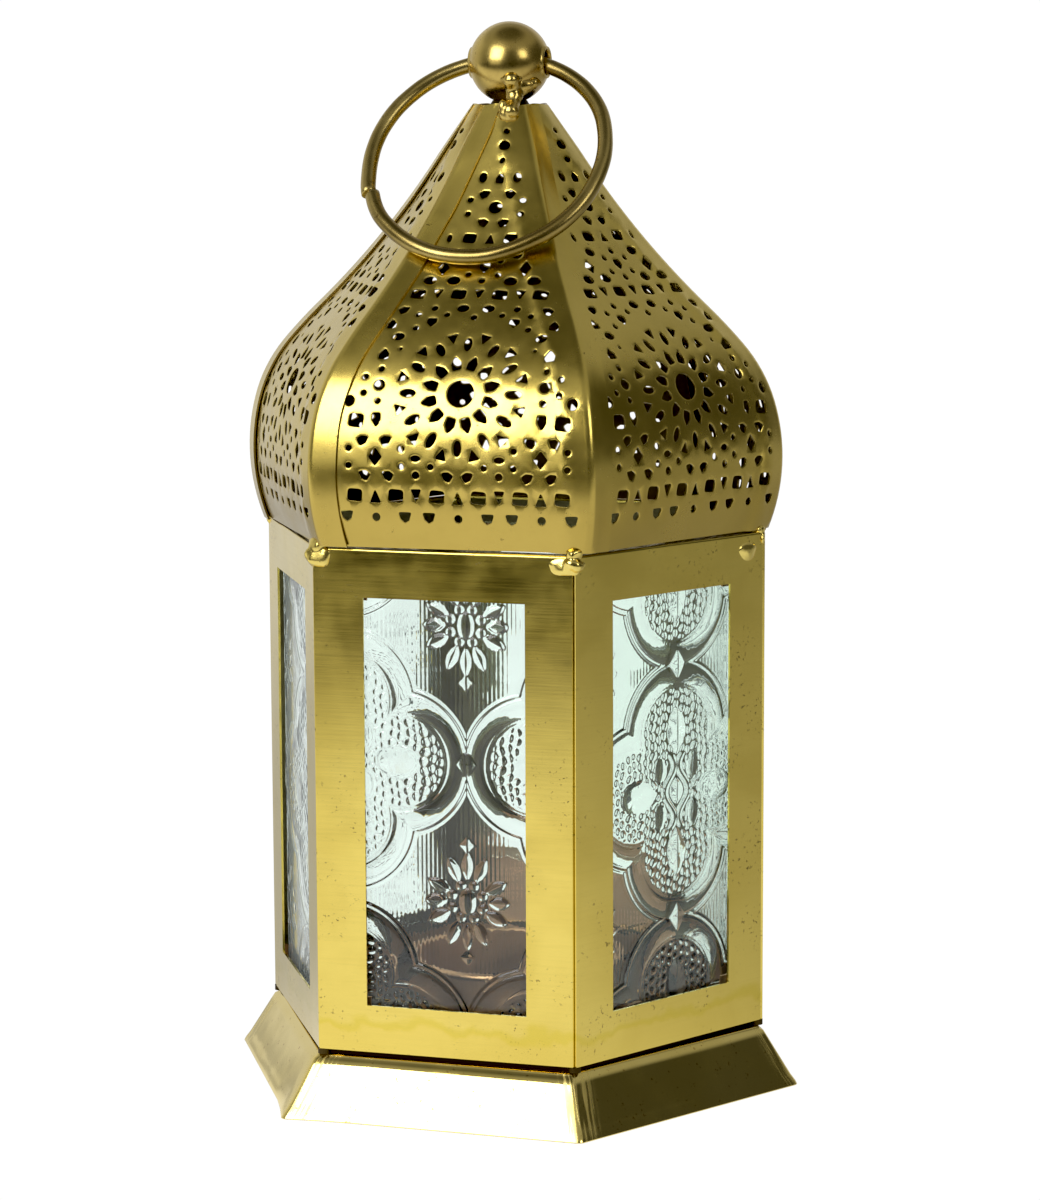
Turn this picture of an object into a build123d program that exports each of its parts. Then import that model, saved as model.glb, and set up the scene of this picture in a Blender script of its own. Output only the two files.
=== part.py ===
"""Hexagonal brass candle lantern: sloping foot, six glazed walls with one door, a pierced ogee dome, a ring handle.

Millimetres, +Z up. The origin is the centre of the foot's underside. The front wall faces -Y and the door +Y.
Each side is drawn as the front one, then turned about Z: one step of 60 degrees is the next side to the right.
"""
import os
from math import cos, radians, sin, tan

from build123d import *

# Sheet metal
SHEET = 0.5
GAP = 0.05  # left for solder between pieces that lie on each other

# Foot
FOOT_RADIUS = 59.6  # centre to corner, on the ground
FOOT_TOP_RADIUS = 51.9
FOOT_HEIGHT = 11.6
FOOT_HEM = 1.8  # sheet turned in along the ground
FOOT_OPENING = 40.0  # centre to corner, of the hole in the foot's top
FOOT_TURN = -1.0  # the hand-made foot sits a little turned from the walls, in degrees

# Walls
WALL_RADIUS = 52.0  # centre to corner, outside
WALL_BOTTOM = 12.75
WALL_TOP = 111.2
FLANGE = 4.6  # strip folded behind the next wall
LIP = 3.0  # strip folded in along the top
LIP_STEP = 1.2  # the flange stops this far under the lip's top
WINDOW_WIDTH = 32.2
WINDOW_BOTTOM = 22.0
WINDOW_TOP = 101.8
DOOR_WINDOW_BOTTOM = 35.0  # the door has a deeper rail under its pane, as a draught shield for the candle

SOLDER_RADIUS = 1.2  # beads under the walls' corners

# Floor tray and candle cup
TRAY_TOP = 17.6
CUP_RADIUS = 20.0  # inside, for a 38 mm tealight
CUP_HEIGHT = 10.5
CUP_BEAD = 0.75  # rolled rim
CUP_SOLDER_HEIGHT = 1.5

# Glass panes and their clips
GLASS_THICKNESS = 2.2
GLASS_SIDE = 1.6  # glass hidden behind each side of the window
GLASS_END = 2.0  # and behind its top and bottom
CLIP_SHEET = 0.4
CLIP_LENGTH = 4.0
CLIP_FOOT = 1.6
CLIP_REACH = 1.65
CLIP_HEIGHTS = (19.0, 101.0)
DOOR_CLIP_HEIGHTS = (32.0, 101.0)

# Door
DOORWAY_WIDTH = 40.0
DOORWAY_BOTTOM = 18.5
DOORWAY_TOP = 105.5
LEAF_WIDTH = 43.0
LEAF_BOTTOM = 17.2
LEAF_TOP = 106.8
LEAF_GAP = 0.1  # between the closed leaf and the wall
PIN_X = 23.3
PIN_RADIUS = 0.9
PIN_CLEARANCE = 0.06
PIN_HEAD = 1.35
PIN_HEAD_HEIGHT = 0.6
BARREL_RADIUS = 1.45
KNUCKLE = 4.4
KNUCKLE_GAP = 0.3
HINGE_BOTTOMS = (31.0, 79.0)
KNOB_X = -18.8
KNOB_Z = 60.0
LATCH_X = -23.8
LATCH_Z = 80.0
LATCH_LENGTH = 9.5  # pivot to the middle of the round tip
LATCH_WIDTH = 3.2
LATCH_SHEET = 0.8
LATCH_LIFT = 0.35  # between the latch and the leaf under it
LATCH_PIN_RADIUS = 0.8

# Dome: the middle line of a panel's section, from the bottom up. Each run is (radius, length): a positive
# radius bends the line outwards as it climbs, and a negative one bends it inwards.
DOME_FOOT = (44.9, 111.8)  # distance from the axis, and height
DOME_LEAN = 19.2  # outwards from the vertical at the foot, in degrees
DOME_RUNS = ((-42.5, 25.1), (-30.8, 12.3), (-100.0, 9.4), (168.0, 48.6))
DOME_TURN = 2.0  # the hand-made dome sits a little turned from the walls, in degrees
SEAM = 4.0  # strip folded over the next panel
RIDGE = 0.12  # how much of the fold's outer edge is worn off
PATTERN_X = 2.1  # the pattern's middle, to the right of the panel's
CUTTER = 1.5  # how far each cutter reaches to both sides of the sheet

# Finial and ring handle
BALL_RADIUS = 8.0
BALL_Z = 202.6
BALL_FLAT = 7.45  # centre to the flats round the bore's mouths
BORE_RADIUS = 2.5
STEM_RADIUS = 2.2
STEM_BOTTOM = 187.6
STEM_TOP = 198.4
PLUG_Z = 189.4
PLUG_RADIUS = 8.2
PLUG_THICKNESS = 1.2
DRIP_WIDTH = 2.8  # the run of solder down the front of the neck
DRIP_LENGTH = 5.2
DRIP_HEIGHT = 1.0
RING_RADIUS = 23.6  # to the middle of the wire
WIRE_RADIUS = 1.5
RING_DROP = 0.6  # the top of the ring's curve stands this far off the bore's axis
RING_LEAN = 38.0  # from straight down to where it rests on the dome, in degrees
RING_SEAM = 1.2  # degrees left open between the wire's ends
RING_SEAM_AT = 166.0  # where, from the right and round under the ring
BEAD_RADIUS = 2.0  # solder at the corners under the dome

APOTHEM = WALL_RADIUS * cos(radians(30))
SIDES = ("front", "front_right", "back_right", "back", "back_left", "front_left")
DOOR_SIDE = "back"
DOOR_TURN = 60 * SIDES.index(DOOR_SIDE)


os.makedirs("parts", exist_ok=True)


def save(shape, name):
    """Label a finished piece and write its file."""
    shape.label = name
    export_step(shape, f"parts/{name}.step")


def turned(shape, angle):
    return shape.rotate(Axis.Z, angle)


def plan(depth, height=0.0):
    """A horizontal plane: x runs right along the side, y runs inwards from depth in front of the axis."""
    return Plane((0, -depth, height))


def upright(depth):
    """A plane that stands along the side at a depth: x runs right, y is height above the ground."""
    return Plane((0, -depth, 0), x_dir=(1, 0, 0), z_dir=(0, -1, 0))


# ---------------------------------------------------------------- foot, tray and cup
def hexagon(corner_radius):
    """A hexagon with one flat side towards -Y."""
    return RegularPolygon(corner_radius, 6, rotation=0)


def make_foot():
    slope = (FOOT_RADIUS - FOOT_TOP_RADIUS) / FOOT_HEIGHT
    inset = 0.66  # the sheet's thickness, measured level from corner to corner
    with BuildPart() as foot:
        with BuildSketch():
            hexagon(FOOT_RADIUS)
        with BuildSketch(Plane.XY.offset(FOOT_HEIGHT)):
            hexagon(FOOT_TOP_RADIUS)
        loft()
        with BuildSketch(Plane.XY.offset(SHEET)):
            hexagon(FOOT_RADIUS - slope * SHEET - inset)
        with BuildSketch(Plane.XY.offset(FOOT_HEIGHT - SHEET)):
            hexagon(FOOT_TOP_RADIUS + slope * SHEET - inset)
        loft(mode=Mode.SUBTRACT)
        with BuildSketch():
            hexagon(FOOT_RADIUS - FOOT_HEM)
        extrude(amount=SHEET, mode=Mode.SUBTRACT)
        with BuildSketch(Plane.XY.offset(FOOT_HEIGHT - SHEET)):
            hexagon(FOOT_OPENING)
        extrude(amount=SHEET, mode=Mode.SUBTRACT)
    return foot.part


TRAY_BOTTOM = FOOT_HEIGHT + GAP
TRAY_FLOOR = TRAY_BOTTOM + SHEET
TRAY_APOTHEM = APOTHEM - 2 * SHEET - 2 * GAP
CUP_BOTTOM = TRAY_FLOOR + GAP


def make_tray():
    corner = TRAY_APOTHEM / cos(radians(30))
    with BuildPart() as tray:
        with BuildSketch(Plane.XY.offset(TRAY_BOTTOM)):
            hexagon(corner)
        extrude(amount=TRAY_TOP - TRAY_BOTTOM)
        with BuildSketch(Plane.XY.offset(TRAY_FLOOR)):
            hexagon(corner - SHEET / cos(radians(30)))
        extrude(amount=TRAY_TOP - TRAY_FLOOR, mode=Mode.SUBTRACT)
    return tray.part


def make_cup():
    """A band of sheet with a rolled rim. The tray is its floor."""
    with BuildPart() as cup:
        with BuildSketch(Plane.XY.offset(CUP_BOTTOM)):
            Circle(CUP_RADIUS + SHEET)
            Circle(CUP_RADIUS, mode=Mode.SUBTRACT)
        extrude(amount=CUP_HEIGHT)
        with BuildSketch(Plane.XZ):
            with Locations((CUP_RADIUS + CUP_BEAD, CUP_BOTTOM + CUP_HEIGHT)):
                Circle(CUP_BEAD)
        revolve(axis=Axis.Z)
    return cup.part


def make_cup_solder():
    """Three beads that hold the cup on the tray."""
    overlap = 0.2
    with BuildPart() as beads:
        with BuildSketch(Plane.XY.offset(TRAY_FLOOR - overlap)):
            with PolarLocations(CUP_RADIUS + SHEET + SOLDER_RADIUS - overlap, 3, start_angle=30):
                Circle(SOLDER_RADIUS)
        extrude(amount=CUP_SOLDER_HEIGHT + overlap)
    return beads.part


def make_base_solder():
    """A low bead in the gap under each corner of the walls, run on to the tray."""
    with BuildPart() as beads:
        with BuildSketch(Plane.XY.offset(TRAY_BOTTOM)):
            with PolarLocations(WALL_RADIUS - SOLDER_RADIUS, 6):
                Circle(SOLDER_RADIUS)
        extrude(amount=WALL_BOTTOM - GAP - TRAY_BOTTOM)
    return beads.part


save(turned(make_foot(), FOOT_TURN), "base_skirt")
save(make_tray(), "base_floor")
save(make_base_solder(), "base_solder")
save(make_cup(), "candle_cup")
save(make_cup_solder(), "candle_cup_solder")


# ---------------------------------------------------------------- walls
def meet(own, side, hand):
    """Seen from above, where the line at depth own on this side crosses the line at depth side on the next
    side to the right (hand 1) or to the left (hand -1)."""
    return hand * (side - own / 2) / sin(radians(60)), -own


def make_wall(opening_width, opening_bottom, opening_top):
    """A wall whose right edge is folded behind the next wall, with a strip folded in along its top."""
    flange_front = APOTHEM - SHEET - GAP
    along = (cos(radians(60)), sin(radians(60)))
    inwards = (-sin(radians(60)), cos(radians(60)))
    bend = meet(APOTHEM, flange_front, 1)
    end = (bend[0] + FLANGE * along[0], bend[1] + FLANGE * along[1])
    end_back = (end[0] + SHEET * inwards[0], end[1] + SHEET * inwards[1])
    left_end = [meet(APOTHEM - SHEET, APOTHEM, -1), meet(APOTHEM, APOTHEM, -1)]
    lip_front = APOTHEM - SHEET
    lip_back = lip_front - LIP
    with BuildPart() as wall:
        with BuildSketch(Plane.XY.offset(WALL_BOTTOM)):
            with BuildLine():
                bend_back = meet(APOTHEM - SHEET, flange_front - SHEET, 1)
                Polyline(*left_end, bend, end, end_back, bend_back, close=True)
            make_face()
        extrude(amount=WALL_TOP - LIP_STEP - WALL_BOTTOM)
        with BuildSketch(Plane.XY.offset(WALL_TOP - LIP_STEP)):
            with BuildLine():
                Polyline(*left_end, bend, meet(APOTHEM - SHEET, flange_front, 1), close=True)
            make_face()
        extrude(amount=LIP_STEP)
        with BuildSketch(Plane.XY.offset(WALL_TOP - SHEET)):
            with BuildLine():
                Polyline(
                    (-lip_front * tan(radians(30)) + SHEET, -lip_front),
                    (lip_front * tan(radians(30)) - SHEET, -lip_front),
                    (lip_back * tan(radians(30)) - SHEET, -lip_back),
                    (-lip_back * tan(radians(30)) + SHEET, -lip_back),
                    close=True,
                )
            make_face()
        extrude(amount=SHEET)
        with BuildSketch(upright(APOTHEM)):
            with Locations((0, (opening_bottom + opening_top) / 2)):
                RectangleRounded(opening_width, opening_top - opening_bottom, 0.4)
        extrude(amount=-2 * SHEET, mode=Mode.SUBTRACT)
    return wall.part


window_wall = make_wall(WINDOW_WIDTH, WINDOW_BOTTOM, WINDOW_TOP)
door_wall = make_wall(DOORWAY_WIDTH, DOORWAY_BOTTOM, DOORWAY_TOP)
for step, side in enumerate(SIDES):
    save(turned(door_wall if side == DOOR_SIDE else window_wall, 60 * step), f"wall_{side}")


# ---------------------------------------------------------------- glass and clips
def make_glass(front, bottom):
    """A pane whose outer face is at depth front, behind a window that starts at height bottom."""
    with BuildPart() as glass:
        with BuildSketch(upright(front)):
            with Locations((0, (bottom + WINDOW_TOP) / 2)):
                Rectangle(WINDOW_WIDTH + 2 * GLASS_SIDE, WINDOW_TOP - bottom + 2 * GLASS_END)
        extrude(amount=-GLASS_THICKNESS)
    return glass.part


def make_clips(front, heights):
    """Bent strips, soldered to the sheet beside the pane, that reach over its back. Two on each side."""
    edge = WINDOW_WIDTH / 2 + GLASS_SIDE + GAP
    step = GLASS_THICKNESS + 2 * GAP
    with BuildPart() as clips:
        for height in heights:
            with BuildSketch(plan(front - GAP, height)):
                with BuildLine():
                    Polyline(
                        (-edge - CLIP_SHEET - CLIP_FOOT, 0),
                        (-edge, 0),
                        (-edge, step),
                        (-edge + CLIP_REACH, step),
                        (-edge + CLIP_REACH, step + CLIP_SHEET),
                        (-edge - CLIP_SHEET, step + CLIP_SHEET),
                        (-edge - CLIP_SHEET, CLIP_SHEET),
                        (-edge - CLIP_SHEET - CLIP_FOOT, CLIP_SHEET),
                        close=True,
                    )
                make_face()
                mirror(about=Plane.YZ)
            extrude(amount=CLIP_LENGTH)
    return clips.part


WALL_BACK = APOTHEM - SHEET
LEAF_BACK = APOTHEM + LEAF_GAP
LEAF_FRONT = LEAF_BACK + SHEET

pane = make_glass(WALL_BACK - GAP, WINDOW_BOTTOM)
wall_clips = make_clips(WALL_BACK, CLIP_HEIGHTS)
with BuildPart() as glass_clips:
    for step, side in enumerate(SIDES):
        if side != DOOR_SIDE:
            save(turned(pane, 60 * step), f"glass_{side}")
            add(turned(wall_clips, 60 * step))
save(glass_clips.part, "glass_clips")


# ---------------------------------------------------------------- door
PIN_DEPTH = LEAF_BACK + BARREL_RADIUS


def hinge_plane(height):
    return Plane((PIN_X, -PIN_DEPTH, height))


def hinge_top(bottom):
    return bottom + 3 * KNUCKLE + 2 * KNUCKLE_GAP


def make_leaf():
    with BuildPart() as leaf:
        with BuildSketch(upright(LEAF_BACK)):
            with Locations((0, (LEAF_BOTTOM + LEAF_TOP) / 2)):
                RectangleRounded(LEAF_WIDTH, LEAF_TOP - LEAF_BOTTOM, 0.8)
            with Locations((0, (DOOR_WINDOW_BOTTOM + WINDOW_TOP) / 2)):
                window_height = WINDOW_TOP - DOOR_WINDOW_BOTTOM
                RectangleRounded(WINDOW_WIDTH, window_height, 0.4, mode=Mode.SUBTRACT)
        extrude(amount=SHEET)
        for bottom in HINGE_BOTTOMS:
            with BuildSketch(hinge_plane(bottom + KNUCKLE + KNUCKLE_GAP)):
                Circle(BARREL_RADIUS)
                with Locations((0, BARREL_RADIUS)):
                    Rectangle(PIN_X - LEAF_WIDTH / 2 + 1, SHEET, align=(Align.MAX, Align.MAX))
                Circle(PIN_RADIUS + PIN_CLEARANCE, mode=Mode.SUBTRACT)
            extrude(amount=KNUCKLE)
    return leaf.part


def make_hinge_plates():
    """Each plate is soldered to the wall beside the doorway, and carries the two outer knuckles of a hinge."""
    edge = WALL_RADIUS / 2 - 0.1 - PIN_X
    plate_start = BARREL_RADIUS + KNUCKLE_GAP
    with BuildPart() as plates:
        for bottom in HINGE_BOTTOMS:
            for height in (bottom, hinge_top(bottom) - KNUCKLE):
                with BuildSketch(hinge_plane(height)):
                    Circle(BARREL_RADIUS)
                    with Locations((0, BARREL_RADIUS)):
                        Rectangle(edge, SHEET, align=(Align.MIN, Align.MAX))
                    Circle(PIN_RADIUS + PIN_CLEARANCE, mode=Mode.SUBTRACT)
                extrude(amount=KNUCKLE)
            with BuildSketch(hinge_plane(bottom)):
                with Locations((plate_start, BARREL_RADIUS)):
                    Rectangle(edge - plate_start, SHEET, align=(Align.MIN, Align.MAX))
            extrude(amount=hinge_top(bottom) - bottom)
    return plates.part


def make_hinge_pins():
    with BuildPart() as pins:
        for bottom in HINGE_BOTTOMS:
            top = hinge_top(bottom)
            with BuildSketch(hinge_plane(bottom - GAP)):
                Circle(PIN_RADIUS)
            extrude(amount=top - bottom + 2 * GAP)
            for height in (bottom - GAP - PIN_HEAD_HEIGHT, top + GAP):
                with BuildSketch(hinge_plane(height)):
                    Circle(PIN_HEAD)
                extrude(amount=PIN_HEAD_HEIGHT)
    return pins.part


def make_knob():
    """A small turned knob soldered to the leaf."""
    foot = -LEAF_FRONT - GAP
    with BuildPart() as knob:
        with BuildSketch(Plane((KNOB_X, foot, KNOB_Z))):
            with BuildLine():
                Polyline((0, 0), (2.2, 0), (2.2, -0.6), (1.0, -1.0), (1.0, -2.6))
                TangentArc((0, -6.6), (1.0, -2.6), tangent=(1, 0))
                Line((0, -6.6), (0, 0))
            make_face()
        revolve(axis=Axis((KNOB_X, foot, KNOB_Z), (0, -1, 0)))
    return knob.part


LATCH_BACK = LEAF_FRONT + LATCH_LIFT


def make_latch():
    """A turn button: it hangs beside the door, and covers the leaf's edge when it is turned across."""
    with BuildPart() as latch:
        with BuildSketch(upright(LATCH_BACK)):
            with Locations((LATCH_X, LATCH_Z - LATCH_LENGTH / 2)):
                SlotCenterToCenter(LATCH_LENGTH, LATCH_WIDTH, rotation=90)
            with Locations((LATCH_X, LATCH_Z)):
                Circle(LATCH_PIN_RADIUS + PIN_CLEARANCE, mode=Mode.SUBTRACT)
        extrude(amount=LATCH_SHEET)
        with BuildSketch(upright(LATCH_BACK + LATCH_SHEET)):
            with Locations((LATCH_X, LATCH_Z - LATCH_LENGTH)):
                Circle(1.0)
        extrude(amount=1.0)
    return latch.part


def make_latch_pin():
    """A shouldered pin, soldered to the wall, that the turn button spins on."""
    front = LATCH_BACK + LATCH_SHEET + GAP
    with BuildPart() as pin:
        for depth, radius, length in (
            (APOTHEM + GAP, 1.4, LATCH_BACK - APOTHEM - 2 * GAP),
            (APOTHEM + GAP, LATCH_PIN_RADIUS, front - APOTHEM),
            (front, 1.5, 0.7),
        ):
            with BuildSketch(upright(depth)):
                with Locations((LATCH_X, LATCH_Z)):
                    Circle(radius)
            extrude(amount=length)
    return pin.part


save(turned(make_leaf(), DOOR_TURN), "door_leaf")
save(turned(make_glass(LEAF_BACK - GAP, DOOR_WINDOW_BOTTOM), DOOR_TURN), "door_glass")
save(turned(make_clips(LEAF_BACK, DOOR_CLIP_HEIGHTS), DOOR_TURN), "door_glass_clips")
save(turned(make_hinge_plates(), DOOR_TURN), "hinge_plates")
save(turned(make_hinge_pins(), DOOR_TURN), "hinge_pins")
save(turned(make_knob(), DOOR_TURN), "door_knob")
save(turned(make_latch(), DOOR_TURN), "latch_button")
save(turned(make_latch_pin(), DOOR_TURN), "latch_pin")


# ---------------------------------------------------------------- dome
def dome_runs():
    """Each run of the middle line as (start, angle at start, radius, length), angles in radians from vertical."""
    distance, height = DOME_FOOT
    angle = radians(DOME_LEAN)
    for radius, length in DOME_RUNS:
        yield (distance, height), angle, radius, length
        turn = length / radius
        distance += radius * (cos(angle) - cos(angle + turn))
        height += radius * (sin(angle + turn) - sin(angle))
        angle += turn


def on_run(run, length, offset=0.0):
    """The point at a length along a run, moved outwards from the middle line by offset, and the angle there."""
    (distance, height), angle, radius, _ = run
    end = angle + length / radius
    distance += radius * (cos(angle) - cos(end))
    height += radius * (sin(end) - sin(angle))
    return (distance + offset * cos(end), height - offset * sin(end)), end


def on_dome(length):
    """The plane on a panel's middle line at a length from its foot: x runs right, y up the panel."""
    for run in dome_runs():
        if length <= run[3]:
            break
        length -= run[3]
    (distance, height), angle = on_run(run, length)
    return Plane((0, -distance, height), x_dir=(1, 0, 0), z_dir=(0, -cos(angle), -sin(angle)))


def dome_line(offset):
    """The arcs of a panel's section at an offset, in Plane.YZ, from the foot up."""
    for run in dome_runs():
        points = [on_run(run, part * run[3], offset)[0] for part in (0, 0.5, 1)]
        yield ThreePointArc(*[(-distance, height) for distance, height in points])


def dome_sheet(inner, outer):
    """The sheet between two offsets from the middle line, as wide as the whole dome and more."""
    with BuildPart() as sheet:
        with BuildSketch(Plane.YZ):
            with BuildLine():
                inside = list(dome_line(inner))
                outside = list(dome_line(outer))
                Line(inside[0] @ 0, outside[0] @ 0)
                Line(inside[-1] @ 1, outside[-1] @ 1)
            make_face()
        extrude(amount=FOOT_RADIUS, both=True)
    return sheet.part


def dome_inside(offset):
    """Everything behind a panel's surface at an offset, carried on straight past both ends."""
    reach = 3.0
    with BuildPart() as inside:
        with BuildSketch(Plane.YZ):
            with BuildLine():
                arcs = list(dome_line(offset))
                low = arcs[0] @ 0 - (arcs[0] % 0) * reach
                high = arcs[-1] @ 1 + (arcs[-1] % 1) * reach
                Polyline(arcs[0] @ 0, low, (FOOT_RADIUS, low.Y), (FOOT_RADIUS, high.Y), high, arcs[-1] @ 1)
            make_face()
        extrude(amount=FOOT_RADIUS, both=True)
    return inside.part


def seam_side():
    """Everything to the left of the line where the strip folded over a panel ends."""
    size = 2 * FOOT_RADIUS
    slope = tan(radians(30))
    with BuildPart() as side:
        with BuildSketch(Plane.XY.offset(DOME_FOOT[1] - size)):
            with BuildLine():
                Polyline(
                    (SEAM, 0),
                    (SEAM - size * slope, -size),
                    (-2 * size, -size),
                    (-2 * size, 0),
                    close=True,
                )
            make_face()
        extrude(amount=3 * size)
    return side.part


def triangle(width, height):
    """Points up."""
    half = height / 2
    Polygon((-width / 2, -half), (width / 2, -half), (0, half), align=None)


def diamond(width, height):
    Polygon((0, -height / 2), (width / 2, 0), (0, height / 2), (-width / 2, 0), align=None)


def drop(width, height):
    """A teardrop whose point is up."""
    radius = width / 2
    middle = radius - height / 2
    with Locations((0, middle)):
        Circle(radius)
    Polygon((-radius, middle), (radius, middle), (0, height / 2), align=None)


def dot(width, height):
    if width == height:
        Circle(width / 2)
    else:
        Ellipse(width / 2, height / 2)


def square(width, height):
    RectangleRounded(width, height, 0.25 * height)


# The pierced pattern in bands from the foot up: (length up the panel, distances from the pattern's middle, shape,
# width, height, angle). Each distance but zero is cut on both sides, the left one as the mirror image.
BANDS = (
    (7.0, (0, 16.1), dot, 1.5, 1.5, 0),
    (7.0, (5.7, 10.4, 21.9), dot, 2.5, 2.0, 0),
    (10.4, (0, 16.1), triangle, 1.9, 2.3, 0),
    (10.4, (4.05, 20.2), square, 2.9, 2.4, 0),
    (10.4, (8.1,), triangle, 1.8, 2.3, 180),
    (10.4, (12.1,), square, 2.9, 2.5, 0),
    (14.4, (2.2, 13.8, 18.4), drop, 1.7, 2.3, -60),
    (14.4, (8.1,), dot, 1.4, 1.4, 0),
    (16.0, (5.2, 10.9, 21.3), dot, 1.2, 1.2, 0),
    (17.5, (8.15,), dot, 1.9, 1.2, 0),
    (17.7, (16.1,), diamond, 2.5, 3.3, 0),
    (19.2, (10.9, 21.3), dot, 1.2, 1.2, 0),
    (20.9, (13.8, 18.4), drop, 1.7, 2.3, 60),
    (24.4, (16.1,), drop, 1.7, 2.8, 180),
    (24.4, (20.1,), square, 2.9, 2.6, 0),
    (28.2, (16.1,), dot, 1.2, 1.2, 0),
    (28.2, (21.7,), dot, 1.9, 2.1, 0),
    (29.8, (19.05,), dot, 1.2, 1.2, 0),
    (31.35, (16.1,), dot, 2.0, 2.0, 0),
    (33.0, (19.05,), dot, 1.2, 1.2, 0),
    (34.6, (16.1,), dot, 1.2, 1.2, 0),
    (38.0, (16.2,), drop, 2.0, 2.4, 0),
    (41.8, (14.0,), dot, 2.2, 1.7, 0),
    (43.8, (11.0,), dot, 1.2, 1.2, 0),
    (44.9, (15.9,), drop, 1.8, 2.3, 0),
    (45.1, (8.1,), drop, 2.0, 2.2, 180),
    (46.4, (0,), dot, 1.3, 1.3, 0),
    (47.0, (5.4, 11.0), dot, 1.2, 1.2, 0),
    (48.3, (13.9,), drop, 1.7, 2.3, 60),
    (48.6, (8.1,), dot, 1.3, 1.3, 0),
    (48.6, (2.5,), dot, 2.2, 1.7, 0),
    (52.0, (0, 8.1), triangle, 1.9, 2.3, 180),
    (52.0, (4.05, 12.1), square, 2.9, 2.3, 0),
    (55.3, (0,), dot, 1.3, 1.3, 0),
    (55.3, (5.6, 10.3), dot, 2.4, 1.9, 0),
    (56.7, (2.9,), dot, 1.2, 1.2, 0),
    (58.3, (0,), drop, 2.0, 2.4, 180),
    (58.3, (8.1,), diamond, 2.3, 3.2, 0),
    (60.0, (2.9,), dot, 1.2, 1.2, 0),
    (61.6, (0,), dot, 1.3, 1.3, 0),
    (61.6, (5.9,), dot, 2.2, 1.8, 0),
    (65.2, (0,), triangle, 1.9, 2.3, 0),
    (65.2, (4.1,), square, 2.7, 2.2, 0),
    (65.2, (8.1,), dot, 1.0, 1.8, 0),
    (69.0, (2.25,), drop, 1.7, 2.3, -60),
    (70.8, (5.3,), dot, 1.2, 1.2, 0),
    (72.3, (0,), dot, 2.5, 2.5, 0),
    (74.0, (5.2,), dot, 1.2, 1.2, 0),
    (75.4, (2.3,), drop, 1.7, 2.3, 60),
    (79.0, (0,), drop, 1.7, 2.3, 0),
    (79.0, (3.4,), dot, 1.5, 2.1, 0),
    (82.7, (0,), dot, 1.2, 1.2, 0),
    (86.0, (0,), dot, 2.0, 2.0, 0),
    (89.2, (0,), dot, 1.2, 1.2, 0),
)
# The rosette, as rings of holes: (distance from its middle, first angle, shape, width, height, turn)
ROSETTE_UP = 30.5
ROSETTE_HOLE = 2.7
ROSETTE_PETALS = 12
ROSETTE = (
    (6.45, 15, drop, 1.9, 3.0, 0),
    (10.3, 0, dot, 1.5, 2.8, 0),
    (11.7, 15, triangle, 2.2, 2.2, 180),
)


def cutter(up, across, shape, width, height, angle):
    """One cutter through the panel, at a length up it and a distance from its middle."""
    middle = on_dome(up)
    spot = Plane(middle.origin + Vector(across, 0, 0), x_dir=middle.x_dir, z_dir=middle.z_dir)
    with BuildPart() as tool:
        with BuildSketch(spot.rotated((0, 0, angle))):
            shape(width, height)
        extrude(amount=CUTTER, both=True)
    return tool.part


def make_cutters():
    for up, distances, shape, width, height, angle in BANDS:
        for distance in distances:
            yield cutter(up, PATTERN_X + distance, shape, width, height, angle)
            if distance:
                yield cutter(up, PATTERN_X - distance, shape, width, height, -angle)
    yield cutter(ROSETTE_UP, PATTERN_X, dot, 2 * ROSETTE_HOLE, 2 * ROSETTE_HOLE, 0)
    for reach, first, shape, width, height, turn in ROSETTE:
        for petal in range(ROSETTE_PETALS):
            angle = first + petal * 360 / ROSETTE_PETALS
            up = ROSETTE_UP + reach * cos(radians(angle))
            across = PATTERN_X - reach * sin(radians(angle))
            yield cutter(up, across, shape, width, height, angle + turn)


def make_panel():
    """A panel whose right edge is folded over the left edge of the next panel."""
    half = SHEET / 2
    over = half + GAP
    with BuildPart() as strip:
        add(turned(dome_sheet(over, over + SHEET), 60))
        add(turned(seam_side(), 60), mode=Mode.INTERSECT)
        add(dome_inside(half - RIDGE), mode=Mode.INTERSECT)
    with BuildPart() as panel:
        add(dome_sheet(-half, half))
        add(turned(dome_inside(over + SHEET - RIDGE), 60), mode=Mode.INTERSECT)
        add(turned(dome_inside(-over), -60), mode=Mode.INTERSECT)
        add(strip.part)
        add(list(make_cutters()), mode=Mode.SUBTRACT)
    return panel.part


panel = make_panel()
for step, side in enumerate(SIDES):
    save(turned(panel, DOME_TURN + 60 * step), f"dome_panel_{side}")


def make_roof_solder():
    """A bead over each corner where the dome meets the walls."""
    with BuildPart() as beads:
        with PolarLocations(WALL_RADIUS - 0.9, 6):
            Sphere(BEAD_RADIUS)
    return beads.part.moved(Location((0, 0, WALL_TOP)))


save(make_roof_solder(), "roof_solder")


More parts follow.
